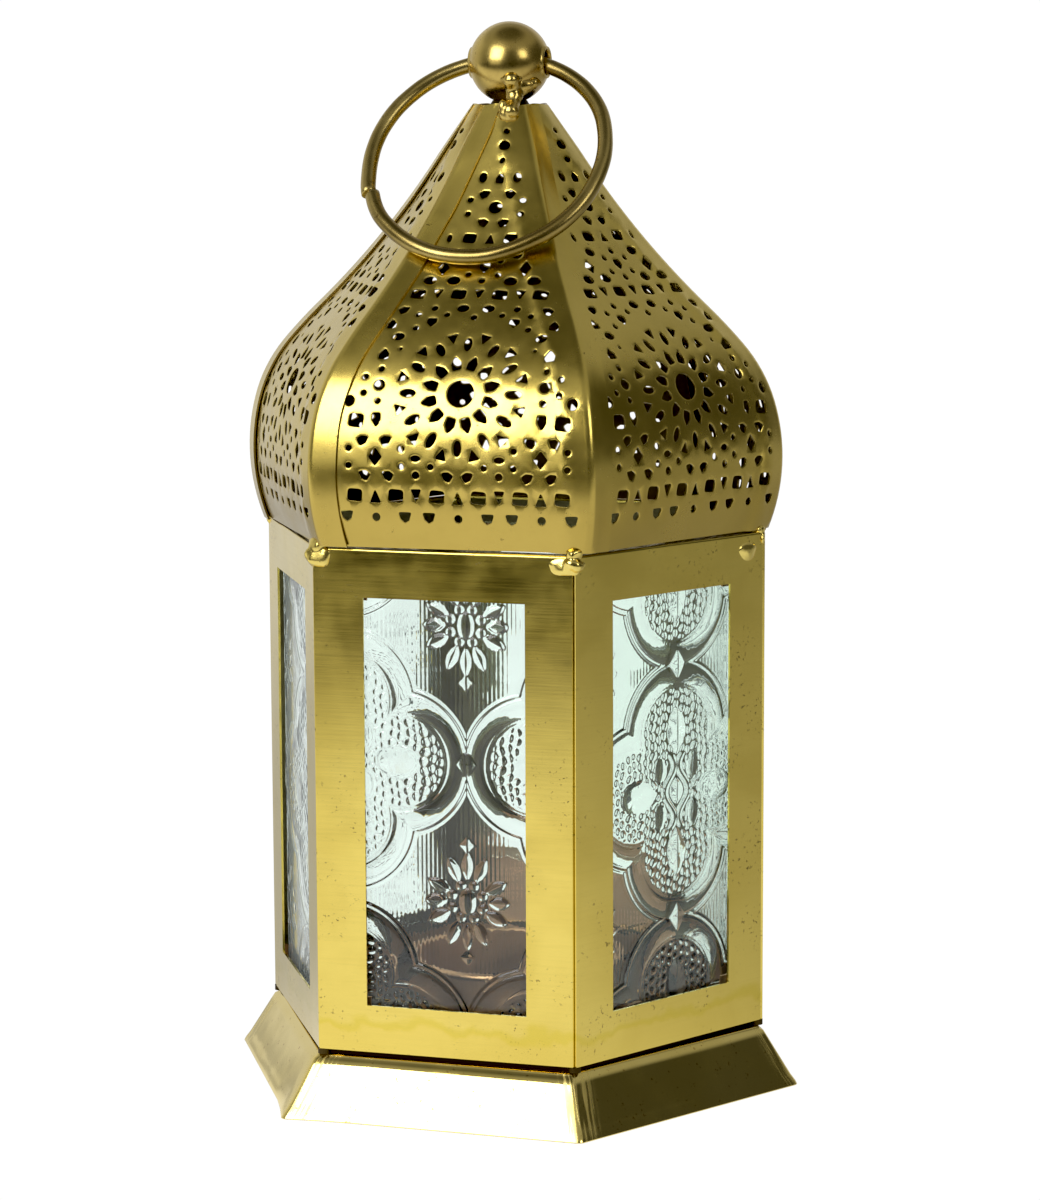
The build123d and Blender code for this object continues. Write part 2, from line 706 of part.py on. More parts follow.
# ---------------------------------------------------------------- finial and ring handle
def make_ball():
    with BuildPart() as ball:
        with BuildSketch(Plane.XZ):
            with Locations((0, BALL_Z)):
                Circle(BALL_RADIUS)
                Rectangle(2 * BALL_RADIUS, 2 * BALL_RADIUS, align=(Align.MAX, Align.CENTER), mode=Mode.SUBTRACT)
        revolve(axis=Axis.Z)
        for side in (-1, 1):
            with BuildSketch(Plane.YZ.offset(side * BALL_FLAT)):
                with Locations((0, BALL_Z)):
                    Circle(BALL_RADIUS)
            extrude(amount=side * BALL_RADIUS, mode=Mode.SUBTRACT)
        with BuildSketch(Plane.YZ):
            with Locations((0, BALL_Z)):
                Circle(BORE_RADIUS)
        extrude(amount=BALL_RADIUS, both=True, mode=Mode.SUBTRACT)
        with BuildSketch(Plane.XY.offset(STEM_BOTTOM)):
            Circle(STEM_RADIUS + GAP)
        extrude(amount=STEM_TOP + GAP - STEM_BOTTOM, mode=Mode.SUBTRACT)
    return ball.part


def make_stem():
    with BuildPart() as stem:
        with BuildSketch(Plane.XY.offset(STEM_BOTTOM)):
            Circle(STEM_RADIUS)
        extrude(amount=STEM_TOP - STEM_BOTTOM)
    return stem.part


def make_plug():
    """A disc soldered inside the dome's neck, which holds the stem."""
    with BuildPart() as plug:
        with BuildSketch(Plane.XY.offset(PLUG_Z)):
            Circle(PLUG_RADIUS)
            Circle(STEM_RADIUS + GAP, mode=Mode.SUBTRACT)
        extrude(amount=PLUG_THICKNESS)
    return plug.part


def make_finial_solder():
    """Solder that fills the neck round the stem, and a run of it down the front panel."""
    fill_bottom = PLUG_Z + PLUG_THICKNESS + GAP
    fill_top = BALL_Z - BALL_RADIUS - GAP
    with BuildPart() as solder:
        with BuildSketch(Plane.XZ):
            with BuildLine():
                Polyline(
                    (STEM_RADIUS + GAP, fill_bottom),
                    (7.6, fill_bottom),
                    (6.3, fill_top),
                    (STEM_RADIUS + GAP, fill_top),
                    close=True,
                )
            make_face()
        revolve(axis=Axis.Z)
        top = sum(length for _, length in DOME_RUNS)
        with BuildSketch(on_dome(top - DRIP_LENGTH / 2).offset(SHEET / 2 + GAP)):
            Ellipse(DRIP_WIDTH / 2, DRIP_LENGTH / 2)
        extrude(amount=DRIP_HEIGHT)
    return turned(solder.part, DOME_TURN)


def make_ring():
    """The ring as it hangs: its plane holds the bore's axis and leans forwards to rest on the dome."""
    lean = radians(RING_LEAN)
    reach = RING_RADIUS - RING_DROP
    centre = Vector(0, -reach * sin(lean), BALL_Z - reach * cos(lean))
    ring_plane = Plane(centre, x_dir=(1, 0, 0), z_dir=(0, cos(lean), -sin(lean)))
    seam = radians(RING_SEAM_AT)
    outwards = ring_plane.x_dir * cos(seam) + ring_plane.y_dir * sin(seam)
    section = Plane(centre, x_dir=outwards, z_dir=ring_plane.z_dir.cross(outwards))
    with BuildPart() as ring:
        with BuildSketch(section):
            with Locations((RING_RADIUS, 0)):
                Circle(WIRE_RADIUS)
        revolve(axis=Axis(centre, ring_plane.z_dir), revolution_arc=360 - RING_SEAM)
    return ring.part


save(make_ball(), "finial_ball")
save(make_stem(), "finial_stem")
save(make_plug(), "finial_plug")
save(make_finial_solder(), "finial_solder")
save(make_ring(), "ring_handle")
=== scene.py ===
"""Looks of the brass candle lantern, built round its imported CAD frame.

Lengths are in millimetres until a mesh is made. Each side is drawn as the front one and turned about Z.
"""
from math import acos, ceil, cos, exp, hypot, pi, radians, sin, sqrt, tan

import bmesh
import bpy
import numpy as np
from mathutils import Matrix, Vector, noise
from mathutils.geometry import delaunay_2d_cdt


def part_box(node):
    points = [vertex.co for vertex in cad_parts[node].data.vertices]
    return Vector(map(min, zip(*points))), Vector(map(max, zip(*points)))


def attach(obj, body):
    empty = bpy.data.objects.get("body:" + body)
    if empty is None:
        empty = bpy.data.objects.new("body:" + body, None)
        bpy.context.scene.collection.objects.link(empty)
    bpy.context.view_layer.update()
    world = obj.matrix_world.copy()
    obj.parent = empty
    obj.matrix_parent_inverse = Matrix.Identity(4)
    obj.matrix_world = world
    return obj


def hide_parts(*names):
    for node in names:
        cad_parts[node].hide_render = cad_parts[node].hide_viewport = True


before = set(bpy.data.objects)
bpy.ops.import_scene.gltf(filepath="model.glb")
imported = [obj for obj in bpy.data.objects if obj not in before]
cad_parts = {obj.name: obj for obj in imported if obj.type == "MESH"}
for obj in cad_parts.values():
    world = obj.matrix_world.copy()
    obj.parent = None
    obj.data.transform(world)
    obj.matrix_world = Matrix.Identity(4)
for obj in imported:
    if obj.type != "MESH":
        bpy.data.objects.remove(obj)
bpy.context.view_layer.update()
MM = 0.001
SIDES = ("front", "front_right", "back_right", "back", "back_left", "front_left")
DOOR_SIDE = "back"


def box_mm(node):
    """Lowest and highest corner of a CAD node, in millimetres."""
    low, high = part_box(node)
    return Vector(low) / MM, Vector(high) / MM


# -------- sizes, read from the frame where it has them
HALF_SIDE = tan(radians(30))  # half a side of a hexagon whose apothem is 1
wall_low, wall_high = box_mm("wall_front")
WALL_BOTTOM, WALL_TOP = wall_low.z, wall_high.z
APOTHEM = -wall_low.y
WALL_HALF = APOTHEM * HALF_SIDE
SHEET = 0.5
DRAWN_SHEET = 0.45  # as thick as sheets are drawn, so that faces of two sheets never share a place
GAP = 0.05  # left for solder between sheets that lie on each other
WINDOW_HALF = 16.1
WINDOW_BOTTOM, WINDOW_TOP = 22.0, 101.8
DOORWAY_HALF, DOORWAY_BOTTOM, DOORWAY_TOP = 20.0, 18.5, 105.5
DOOR_WINDOW_BOTTOM = 35.0
FLANGE = 4.6  # strip folded behind the next wall
LIP = 3.0  # strip folded in along a wall's top
FOOT_TOP = box_mm("base_skirt")[1].z
FOOT_APOTHEM = 59.6 * cos(radians(30))
FOOT_TOP_APOTHEM = 51.9 * cos(radians(30))
FOOT_LEDGE = 40.0 * cos(radians(30))  # apothem of the hole in the foot's top
FOOT_TURN = -1.0  # the foot and the dome sit a little turned from the walls, in degrees
DOME_TURN = 2.0
DOME_FOOT = (44.9, 111.8)  # distance from the axis, and height
DOME_LEAN = 19.2  # outwards from the vertical at the foot, in degrees
DOME_RUNS = ((-42.5, 25.1), (-30.8, 12.3), (-100.0, 9.4), (168.0, 48.6))  # radius and length, going up
DOME_LENGTH = sum(length for _, length in DOME_RUNS)
PATTERN_X = 2.1  # the pattern's middle, to the right of the panel's
ball_low, ball_high = box_mm("finial_ball")
BALL_RADIUS = (ball_high.y - ball_low.y) / 2
BALL_Z = ball_high.z - BALL_RADIUS
BORE_RADIUS = 2.5
RING_RADIUS, WIRE_RADIUS = 23.6, 1.5
RING_DROP = 0.6  # how far the wire hangs in the bore
RING_LEAN, RING_TILT = 38.0, 1.2  # how the ring lies, in degrees
RING_SEAM_AT, RING_SEAM_HALF = 156.5, 0.36  # where the wire's ends meet, and half the gap, in degrees


# -------- mesh helpers
def new_object(name, verts, faces, material, smooth=True):
    """A mesh object from points in millimetres."""
    mesh = bpy.data.meshes.new(name)
    mesh.from_pydata([(x * MM, y * MM, z * MM) for x, y, z in verts], [], faces)
    mesh.validate()
    if smooth:
        mesh.shade_smooth()
    obj = bpy.data.objects.new(name, mesh)
    bpy.context.scene.collection.objects.link(obj)
    mesh.materials.append(material)
    return obj


def edit_mesh(obj, action):
    """Runs action on a piece's mesh as a bmesh."""
    work = bmesh.new()
    work.from_mesh(obj.data)
    action(work)
    work.to_mesh(obj.data)
    work.free()
    return obj


def outward(obj):
    """Makes a closed mesh's normals point outwards."""
    return edit_mesh(obj, lambda work: bmesh.ops.recalc_face_normals(work, faces=work.faces))


def weld(obj, distance=0.002):
    """Joins points that share a place."""
    edit_mesh(obj, lambda work: bmesh.ops.remove_doubles(work, verts=work.verts, dist=distance * MM))
    return outward(obj)


def drop_loose(obj):
    """Deletes points that no face uses."""

    def drop_points(work):
        loose = [v for v in work.verts if not v.link_faces]
        bmesh.ops.delete(work, geom=loose, context="VERTS")

    return edit_mesh(obj, drop_points)


def thicken(obj, thickness, offset=-1.0, inner=None, rim=None):
    """Gives a sheet its thickness, with another finish on its inner face and on its cut edges."""
    solid = obj.modifiers.new("thickness", "SOLIDIFY")
    if inner:
        obj.data.materials.append(inner)
        solid.material_offset = 1
    if rim:
        obj.data.materials.append(rim)
        solid.material_offset_rim = 2
    solid.thickness = thickness * MM
    solid.offset = offset
    solid.use_even_offset = True
    return obj


def soften(obj, width, segments=2, angle=35):
    """Rounds the edges that are sharper than angle."""
    bevel = obj.modifiers.new("soft_edges", "BEVEL")
    bevel.width = width * MM
    bevel.segments = segments
    bevel.limit_method = "ANGLE"
    bevel.angle_limit = radians(angle)
    bevel.harden_normals = True
    return obj


def turned(points, angle):
    """Points turned about Z by an angle in degrees."""
    c, s = cos(radians(angle)), sin(radians(angle))
    return [(x * c - y * s, x * s + y * c, z) for x, y, z in points]


def ripple(x, y, z, size, seed):
    """Smooth noise from -1 to 1 at a place, with features about size millimetres across."""
    return noise.noise(Vector((x / size + seed * 7.31, y / size - seed * 3.77, z / size + seed * 1.93)))


def keep(obj, body, slot, *nodes):
    """Ties a finished piece to its CAD body and hides the CAD nodes that it stands for. slot is not used."""
    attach(obj, body)
    if nodes:
        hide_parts(*nodes)
    return obj


def grid_faces(rows, columns, skip=lambda r, c: False, wrap=False):
    """Quads over a grid of points that is stored row by row."""
    faces = []
    for r in range(rows - 1):
        for c in range(columns if wrap else columns - 1):
            if not skip(r, c):
                d = (c + 1) % columns
                faces.append((r * columns + c, r * columns + d, (r + 1) * columns + d, (r + 1) * columns + c))
    return faces


def steps(start, end, size):
    """Evenly spaced values from start to end, both included, about size apart."""
    count = max(1, ceil(abs(end - start) / size))
    return [start + (end - start) * k / count for k in range(count + 1)]


# -------- materials
class Nodes:
    """Short names for the shader nodes that the materials, the floor and the world are built from."""

    def __init__(self, owner, shader="Principled BSDF"):
        owner.use_nodes = True
        self.owner = owner
        self.tree = owner.node_tree
        self.shader = self.tree.nodes[shader]
        self.coords = self.node("ShaderNodeTexCoord").outputs
        self.place = self.coords["Object"]

    def node(self, kind, **settings):
        made = self.tree.nodes.new(kind)
        for key, value in settings.items():
            setattr(made, key, value)
        return made

    def fill(self, socket, value):
        """Sets an input to a number or a colour, or links a socket to it."""
        if isinstance(value, (int, float)):
            socket.default_value = value
        elif isinstance(value, tuple):
            socket.default_value = (*value, 1.0)
        else:
            self.tree.links.new(value, socket)

    def set(self, **inputs):
        """Fills the shader's inputs. Base_Color stands for the input called Base Color, and so on."""
        for name, value in inputs.items():
            self.fill(self.shader.inputs[name.replace("_", " ")], value)

    def texture(self, vector, detail=2.0, rough=0.5, distortion=0.0):
        made = self.node("ShaderNodeTexNoise")
        settings = (("Scale", 1.0), ("Detail", detail), ("Roughness", rough), ("Distortion", distortion))
        for key, number in settings:
            made.inputs[key].default_value = number
        self.fill(made.inputs["Vector"], vector)
        return made.outputs[0]

    def noise(self, x, y=None, z=None, **settings):
        """Noise with features x, y and z millimetres long."""
        mapping = self.node("ShaderNodeMapping")
        mapping.inputs["Scale"].default_value = [1 / (size * MM) for size in (x, y or x, z or x)]
        self.fill(mapping.inputs["Vector"], self.place)
        return self.texture(mapping.outputs[0], **settings)

    def range(self, value, low, high, to_low=0.0, to_high=1.0):
        made = self.node("ShaderNodeMapRange", clamp=True, interpolation_type="SMOOTHSTEP")
        for key, number in zip(("From Min", "From Max", "To Min", "To Max"), (low, high, to_low, to_high)):
            made.inputs[key].default_value = number
        self.fill(made.inputs["Value"], value)
        return made.outputs[0]

    def maths(self, operation, a, b=0.0):
        made = self.node("ShaderNodeMath", operation=operation)
        self.fill(made.inputs[0], a)
        self.fill(made.inputs[1], b)
        return made.outputs[0]

    def times(self, a, b):
        return self.maths("MULTIPLY", a, b)

    def plus(self, a, b):
        return self.maths("ADD", a, b)

    def blend(self, share, a, b, kind="FLOAT", first=2, result=0):
        """Number a at share 0 and b at share 1. Each is a number or a socket."""
        made = self.node("ShaderNodeMix", data_type=kind)
        for place, value in ((0, share), (first, a), (first + 1, b)):
            self.fill(made.inputs[place], value)
        return made.outputs[result]

    def mix(self, share, a, b):
        """Colour a at share 0 and b at share 1. Each is a colour or a socket."""
        return self.blend(share, a, b, "RGBA", 6, 2)

    def bump(self, height, distance, under=None):
        made = self.node("ShaderNodeBump")
        made.inputs["Strength"].default_value = 1.0
        made.inputs["Distance"].default_value = distance * MM
        self.fill(made.inputs["Height"], height)
        if under is not None:
            self.fill(made.inputs["Normal"], under)
        return made.outputs[0]

    def split(self):
        """The place's x, y and z, in metres."""
        made = self.node("ShaderNodeSeparateXYZ")
        self.fill(made.inputs[0], self.place)
        return made.outputs

    def height(self):
        """Height above the ground, in metres."""
        return self.split()[2]

    def along(self, coords, direction):
        """How far some coordinates go in a direction."""
        made = self.node("ShaderNodeVectorMath", operation="DOT_PRODUCT")
        made.inputs[1].default_value = direction
        self.fill(made.inputs[0], coords)
        return made.outputs["Value"]

    def in_reflections(self):
        """1 for rays that a face reflects, and 0 or less for those that come straight or through glass."""
        path = self.node("ShaderNodeLightPath").outputs
        return self.maths("SUBTRACT", path["Is Glossy Ray"], path["Is Transmission Ray"])


TARNISH = (0.10, 0.065, 0.02)
# Painted shade: near-black brass for the hollow inside the foot
PAINTED_SHADE = (0.02, 0.012, 0.004)


def brass(name, light, dark, rough, grain=(16.0, 16.0, 0.45), grain_depth=0.004, blotch=0.5, specks=0.62,
          heat=False, coat=0.0, painted_shade_below=0, inner=None, darker_low=None):
    """Solid brass: a lighter and a darker alloy colour in soft clouds, fine brushing, specks of tarnish.

    heat draws the tide mark low on the walls. painted_shade_below is a height under which the brass is
    painted near-black, painted shade in the hollow inside the foot. inner is the colour low on the side that
    faces the candle: a copper heat tint, made light and only a quarter metallic to stand in for the light
    that reaches the inside, so partly painted light; above it that side is painted shade, a dark olive. dull
    is where the dome's darker foot starts and stops fading.
    """
    n = Nodes(bpy.data.materials.new(name))
    n.set(Metallic=1.0, Coat_Weight=coat, Coat_Roughness=0.16, Coat_IOR=1.4)
    clouds = n.range(n.noise(22, detail=4, distortion=0.6), 0.35, 0.68)
    colour = n.mix(n.times(clouds, blotch), light, dark)
    fine = n.noise(*grain, detail=3, rough=0.6)
    colour = n.mix(n.range(fine, 0.45, 0.75, 0, 0.14), colour, dark)
    speck = n.range(n.noise(0.9, rough=0.7), specks, specks + 0.05)
    speck = n.times(speck, n.range(n.noise(9, detail=1), 0.45, 0.7))
    colour = n.mix(n.times(speck, 0.75), colour, TARNISH)
    # Darker towards the dome's foot, fading out between the two heights
    if darker_low:
        colour = n.mix(n.range(n.height(), darker_low[0] * MM, darker_low[1] * MM, 0.5, 0.0), colour, (0.34, 0.23, 0.045))
    if inner:
        # Painted shade: the side that faces the candle is a dark olive. Low on it sits a copper heat tint,
        # made light and only a quarter metallic to stand in for light that reaches the inside: partly painted
        # light
        inwards = n.range(n.along(n.coords["Normal"], (0, 1, 0)), -0.3, -0.1, 1.0, 0.0)
        heat_tint_painted_light = n.times(inwards, n.range(n.height(), 0.036, 0.040, 1.0, 0.0))
        colour = n.mix(inwards, colour, (0.15, 0.14, 0.07))
        colour = n.mix(heat_tint_painted_light, colour, inner)
        n.set(Metallic=n.range(heat_tint_painted_light, 0, 1, 1.0, 0.25))
    # Painted shade: under the given height the brass turns near-black, for the shade inside the foot
    if painted_shade_below:
        painted_shade_mask = n.range(n.height(), painted_shade_below * MM, (painted_shade_below + 0.4) * MM, 1.0, 0.0)
        colour = n.mix(painted_shade_mask, colour, PAINTED_SHADE)
    if heat:
        edge = n.plus(n.height(), n.range(n.noise(9, detail=3), 0.3, 0.7, -0.0016, 0.0016))
        band = n.times(n.range(edge, 0.0168, 0.0181), n.range(edge, 0.0200, 0.0183))
        below = n.range(edge, 0.0182, 0.0178)
        colour = n.mix(n.times(below, 0.25), colour, (0.84, 0.62, 0.10))
        colour = n.mix(n.times(band, 0.5), colour, (0.72, 0.56, 0.05))
    patchy = n.range(n.noise(9), 0.3, 0.7, rough - 0.025, rough + 0.04)
    patchy = n.plus(patchy, n.range(fine, 0.3, 0.7, -0.015, 0.015))
    patchy = n.plus(patchy, n.times(speck, 0.08))
    waves = n.bump(n.noise(9, detail=1), 0.03)
    n.set(Base_Color=colour, Roughness=patchy, Normal=n.bump(fine, grain_depth, waves))
    return n.owner


FRESH = ((0.86, 0.675, 0.155), (0.70, 0.53, 0.10))
EVEN = {"grain": (1, 1, 1), "blotch": 0.9}
HANDLED = {"grain": (0.8, 0.8, 0.8), "blotch": 0.9}
wall_brass = brass("wall_brass", *FRESH, 0.17, heat=True, coat=0.4)
# The door's inner face carries painted shade, and low down a copper heat tint lightened into painted light
door_brass = brass("door_brass", *FRESH, 0.24, coat=0.2, inner=(1.0, 0.60, 0.36))
dome_brass = brass(
    "dome_brass", (0.75, 0.575, 0.135), (0.57, 0.43, 0.09), 0.23,
    grain=(2.2, 2.2, 2.2), grain_depth=0.003, specks=0.67, coat=0.4, darker_low=(117, 130),
)
# Painted shade: dark brass for the dome's cut edges, so that its holes read dark inside
painted_shade_rim_brass = brass("painted_shade_rim_brass", (0.40, 0.29, 0.09), (0.20, 0.13, 0.045), 0.36, **EVEN)
# Painted shade: a dark olive for the walls' inner face, for the shade inside the lantern
painted_shade_wall_inside = brass("painted_shade_wall_inside", (0.17, 0.15, 0.075), (0.09, 0.075, 0.035), 0.45, **EVEN)
# Copper-brown brass for inner faces and inside parts, with painted shade under 13.2 mm
inside_brass = brass("inside_brass", (0.80, 0.46, 0.25), (0.52, 0.28, 0.14), 0.42, painted_shade_below=13.2, **EVEN)
# Painted shade: near-black brass for the dome's inner face, the fill in its neck and the solder low at the
# corners
painted_shade_brass = brass("painted_shade_dome_inside", (0.10, 0.07, 0.025), (0.05, 0.033, 0.012), 0.55, **EVEN)
antique_brass = brass("antique_brass", (0.66, 0.50, 0.15), (0.42, 0.29, 0.08), 0.24, **HANDLED)
ring_brass = brass("ring_brass", (0.50, 0.385, 0.135), (0.24, 0.17, 0.05), 0.28, **HANDLED)
solder_brass = brass(
    "solder_brass", (0.86, 0.69, 0.20), (0.66, 0.50, 0.12), 0.2, grain=(0.6, 0.6, 0.6), grain_depth=0.02
)


def polished_brass():
    """Mirror-polished sheet, with file marks that run down the slope at the foot's corners."""
    n = Nodes(bpy.data.materials.new("polished_brass"))
    clouds = n.range(n.noise(14, detail=3), 0.35, 0.7, 0, 0.5)
    colour = n.mix(clouds, (0.92, 0.74, 0.25), (0.82, 0.64, 0.17))
    speck = n.range(n.noise(1.1, rough=0.7), 0.66, 0.72)
    colour = n.mix(speck, colour, (0.55, 0.36, 0.09))
    x, y, z = n.split()
    six_times_angle = n.times(n.maths("ARCTAN2", y, x), 6.0)
    corner = n.range(n.maths("COSINE", six_times_angle), 0.86, 0.99)
    round_and_up = n.node("ShaderNodeCombineXYZ")
    n.fill(round_and_up.inputs[0], n.times(six_times_angle, 14.0))
    n.fill(round_and_up.inputs[1], n.times(z, 90.0))
    filed = n.times(corner, n.range(n.texture(round_and_up.outputs[0]), 0.42, 0.62))
    rough = n.plus(n.range(n.noise(7, detail=3), 0.4, 0.75, 0.05, 0.13), n.times(filed, 0.3))
    waves = n.bump(n.noise(11, detail=1), 0.06)
    marks = n.bump(n.noise(0.35, 0.35, 5.0, detail=3), 0.002, waves)
    n.set(Metallic=1.0, Base_Color=colour, Roughness=rough, Normal=marks)
    return n.owner


foot_brass = polished_brass()


def glass_material(name, colour):
    """Pressed clear glass, faintly tinted, with a soft sheen that lifts its darkest lines."""
    n = Nodes(bpy.data.materials.new(name))
    n.set(Base_Color=colour, Transmission_Weight=1.0, IOR=1.5)
    n.set(Sheen_Weight=0.6, Sheen_Roughness=0.35, Sheen_Tint=(0.9, 1.0, 0.97))
    n.set(Roughness=n.range(n.noise(5, detail=3), 0.4, 0.8, 0.0, 0.05), Normal=n.bump(n.noise(3.0), 0.03))
    return n.owner


clear_glass = glass_material("clear_glass", (0.91, 0.982, 0.948))
green_glass = glass_material("green_glass", (0.83, 0.95, 0.87))


# -------- foot
def rounded_hexagon(apothem, corner, along=10, round_steps=5):
    """A hexagon with a flat towards -Y and rounded corners, in plan, one side and corner after another."""
    points = []
    half = (apothem - corner) * HALF_SIDE
    for side in range(6):
        middle = radians(-90 + 60 * side)
        out = Vector((cos(middle), sin(middle)))
        right = Vector((-out.y, out.x))
        points += [out * apothem + right * (half * (2 * k / along - 1)) for k in range(along + 1)]
        centre = out * (apothem - corner) + right * half
        for k in range(1, round_steps + 1):
            angle = middle + radians(60) * k / (round_steps + 1)
            points.append(centre + Vector((cos(angle), sin(angle))) * corner)
    return points


FOOT_BEND = 0.9  # height of the rounded edge between slope and ledge
PULLED_CORNER = Vector((-30, -51))  # the front left corner is pulled out a little


def make_foot():
    """The sheet's outer face from its turned-in hem, up the slope and in over the ledge."""
    bend_low = FOOT_TOP - FOOT_BEND
    hem_high = 0.85
    slope = (FOOT_APOTHEM - FOOT_TOP_APOTHEM) / FOOT_TOP
    # Each row is how far the sheet lies outside the foot's lower edge, its height, and its corners' radius
    hem = ((-1.8, 0.06, 1.4), (-0.3, 0.0, 1.6), (-0.08, 0.03, 1.6), (0.01, 0.12, 1.6), (-0.04, 0.25, 1.6))
    rows = [(FOOT_APOTHEM + out, z, corner) for out, z, corner in (*hem, (-0.35, hem_high, 1.5))]
    for k in range(1, 9):
        z = hem_high + (bend_low - hem_high) * k / 8
        rows.append((FOOT_APOTHEM - slope * z, z, 1.5 - 0.7 * k / 8))
    for degrees_up in (20, 40, 62):
        turn = radians(degrees_up)
        rows.append((FOOT_TOP_APOTHEM - 0.75 * (1 - cos(turn)), bend_low + FOOT_BEND * sin(turn), 0.9))
    rows += [(FOOT_TOP_APOTHEM - 0.9, FOOT_TOP, 0.8), (FOOT_TOP_APOTHEM - 3, FOOT_TOP, 0.5)]
    rows.append((FOOT_LEDGE, FOOT_TOP, 0.2))
    verts = []
    for apothem, z, corner in rows:
        for p in rounded_hexagon(apothem, corner):
            wave = 0.12 * ripple(p.x, p.y, z, 24, 3) if FOOT_BEND < z < bend_low else 0
            pulled = max(0.0, 1 - (p - PULLED_CORNER).length / 9) * max(0.0, 1 - z / FOOT_TOP)
            out = p.normalized() * (wave + 1.3 * pulled)
            verts.append((p.x + out.x, p.y + out.y, z))
    faces = grid_faces(len(rows), len(verts) // len(rows), wrap=True)
    foot = new_object("foot_skirt", turned(verts, FOOT_TURN), faces, foot_brass)
    # The inner face is copper-brown, with painted shade low down
    thicken(foot, DRAWN_SHEET, inner=inside_brass)
    return keep(foot, "lantern", "polished_brass", "base_skirt")


make_foot()


# -------- walls
WALL_FOLD = 0.15  # radius of the fold along a wall's right edge
LIP_FOLD = 0.38  # and along its top


def wall_plan(half):
    """The outer face in plan, left to right, and how many of the points come before the fold.

    half is half the width of the wall's opening."""
    bend_x = (APOTHEM / 2 - SHEET - GAP) / sin(radians(60))
    setback = WALL_FOLD * HALF_SIDE
    fold_x = bend_x - setback
    flats = steps(0.05 - WALL_HALF, -half, 2.2) + steps(-half, half, 2.3)[1:]
    flats += steps(half, fold_x - 0.2, 2.2)[1:] + [fold_x]
    points = [(x, -APOTHEM) for x in flats]
    for k in (1, 2, 3, 4):
        angle = radians(15 * k)
        points.append((fold_x + WALL_FOLD * sin(angle), -APOTHEM + WALL_FOLD * (1 - cos(angle))))
    last_x, last_y = points[-1]
    for length in steps(0, FLANGE - setback, 1.3)[1:]:
        points.append((last_x + length * 0.5, last_y + length * sin(radians(60))))
    return points, len(flats)


def make_wall(turn, side, half, bottom, top):
    """A wall with a window or doorway, its right edge folded behind the next wall and its top folded in."""
    plan, before_fold = wall_plan(half)
    seed = turn + 1
    lip_low = WALL_TOP - LIP_FOLD
    heights = steps(WALL_BOTTOM, bottom, 2.5) + steps(bottom, top, 2.6)[1:]
    heights += steps(top, lip_low - 0.2, 2.4)[1:] + [lip_low]
    verts = []
    for z in heights:
        for x, y in plan:
            wave = 0.06 * ripple(x, 0, z, 22, seed) + 0.015 * ripple(x, 0, z, 8, seed + 9)
            calm = min(1.0, abs(abs(x) - WALL_HALF) / 4)
            verts.append((x, y - wave * calm if y == -APOTHEM else y, z))
    lip_rows = [(LIP_FOLD * (1 - cos(radians(a))), LIP_FOLD * sin(radians(a))) for a in (30, 60, 90)]
    lip_rows += [(inward, LIP_FOLD) for inward in (1.4, LIP)]
    for inward, up in lip_rows:
        limit = (APOTHEM - inward) * HALF_SIDE - 0.25
        for x, y in plan:
            wander = 0.12 * ripple(x, 5, 0, 9, seed + 4)
            x_here = max(-limit, min(limit, x)) if inward > LIP_FOLD else x
            verts.append((x_here, y + inward, lip_low + up + wander * up))

    def skip(r, c):
        if r >= len(heights) - 1:
            return c >= before_fold - 1
        across = abs(plan[c][0] + plan[c + 1][0]) / 2
        return bottom - 0.01 < heights[r] < top - 0.01 and across < half and c < before_fold

    faces = grid_faces(len(heights) + len(lip_rows), len(plan), skip)
    wall = new_object(f"wall_sheet_{side}", turned(verts, 60 * turn), faces, wall_brass)
    drop_loose(wall)
    # The inner face carries painted shade
    thicken(wall, DRAWN_SHEET, inner=painted_shade_wall_inside)
    soften(wall, 0.1, 2, 50)
    return keep(wall, "lantern", "wall_brass", f"wall_{side}")


for turn, side in enumerate(SIDES):
    if side == DOOR_SIDE:
        make_wall(turn, side, DOORWAY_HALF, DOORWAY_BOTTOM, DOORWAY_TOP)
    else:
        make_wall(turn, side, WINDOW_HALF, WINDOW_BOTTOM, WINDOW_TOP)


# -------- embossed glass
LATTICE = 49.0  # from one quatrefoil to the next, across
LOBE = 11.0  # quatrefoil's middle to a lobe's middle
BEADS = 9.3  # radius of a lobe's beaded field


def lens(across, along, half_width, half_length):
    """A pointed leaf with a ridge down its middle: 1 on the ridge, 0 at its outline."""
    width = half_width * np.clip(1 - (along / half_length) ** 2, 0, None)
    rise = np.clip(1 - np.abs(across) / np.maximum(width, 1e-6), 0, None)
    return rise * np.clip(width / half_width * 2, 0, 1)


def ridge(distance, width):
    """A soft line, 1 high where distance is 0."""
    return np.exp(-((distance / width) ** 2))


def dome_over(share):
    """A round swelling where share is below 1, 1 high at 0."""
    return np.sqrt(np.clip(1 - share, 0, None))


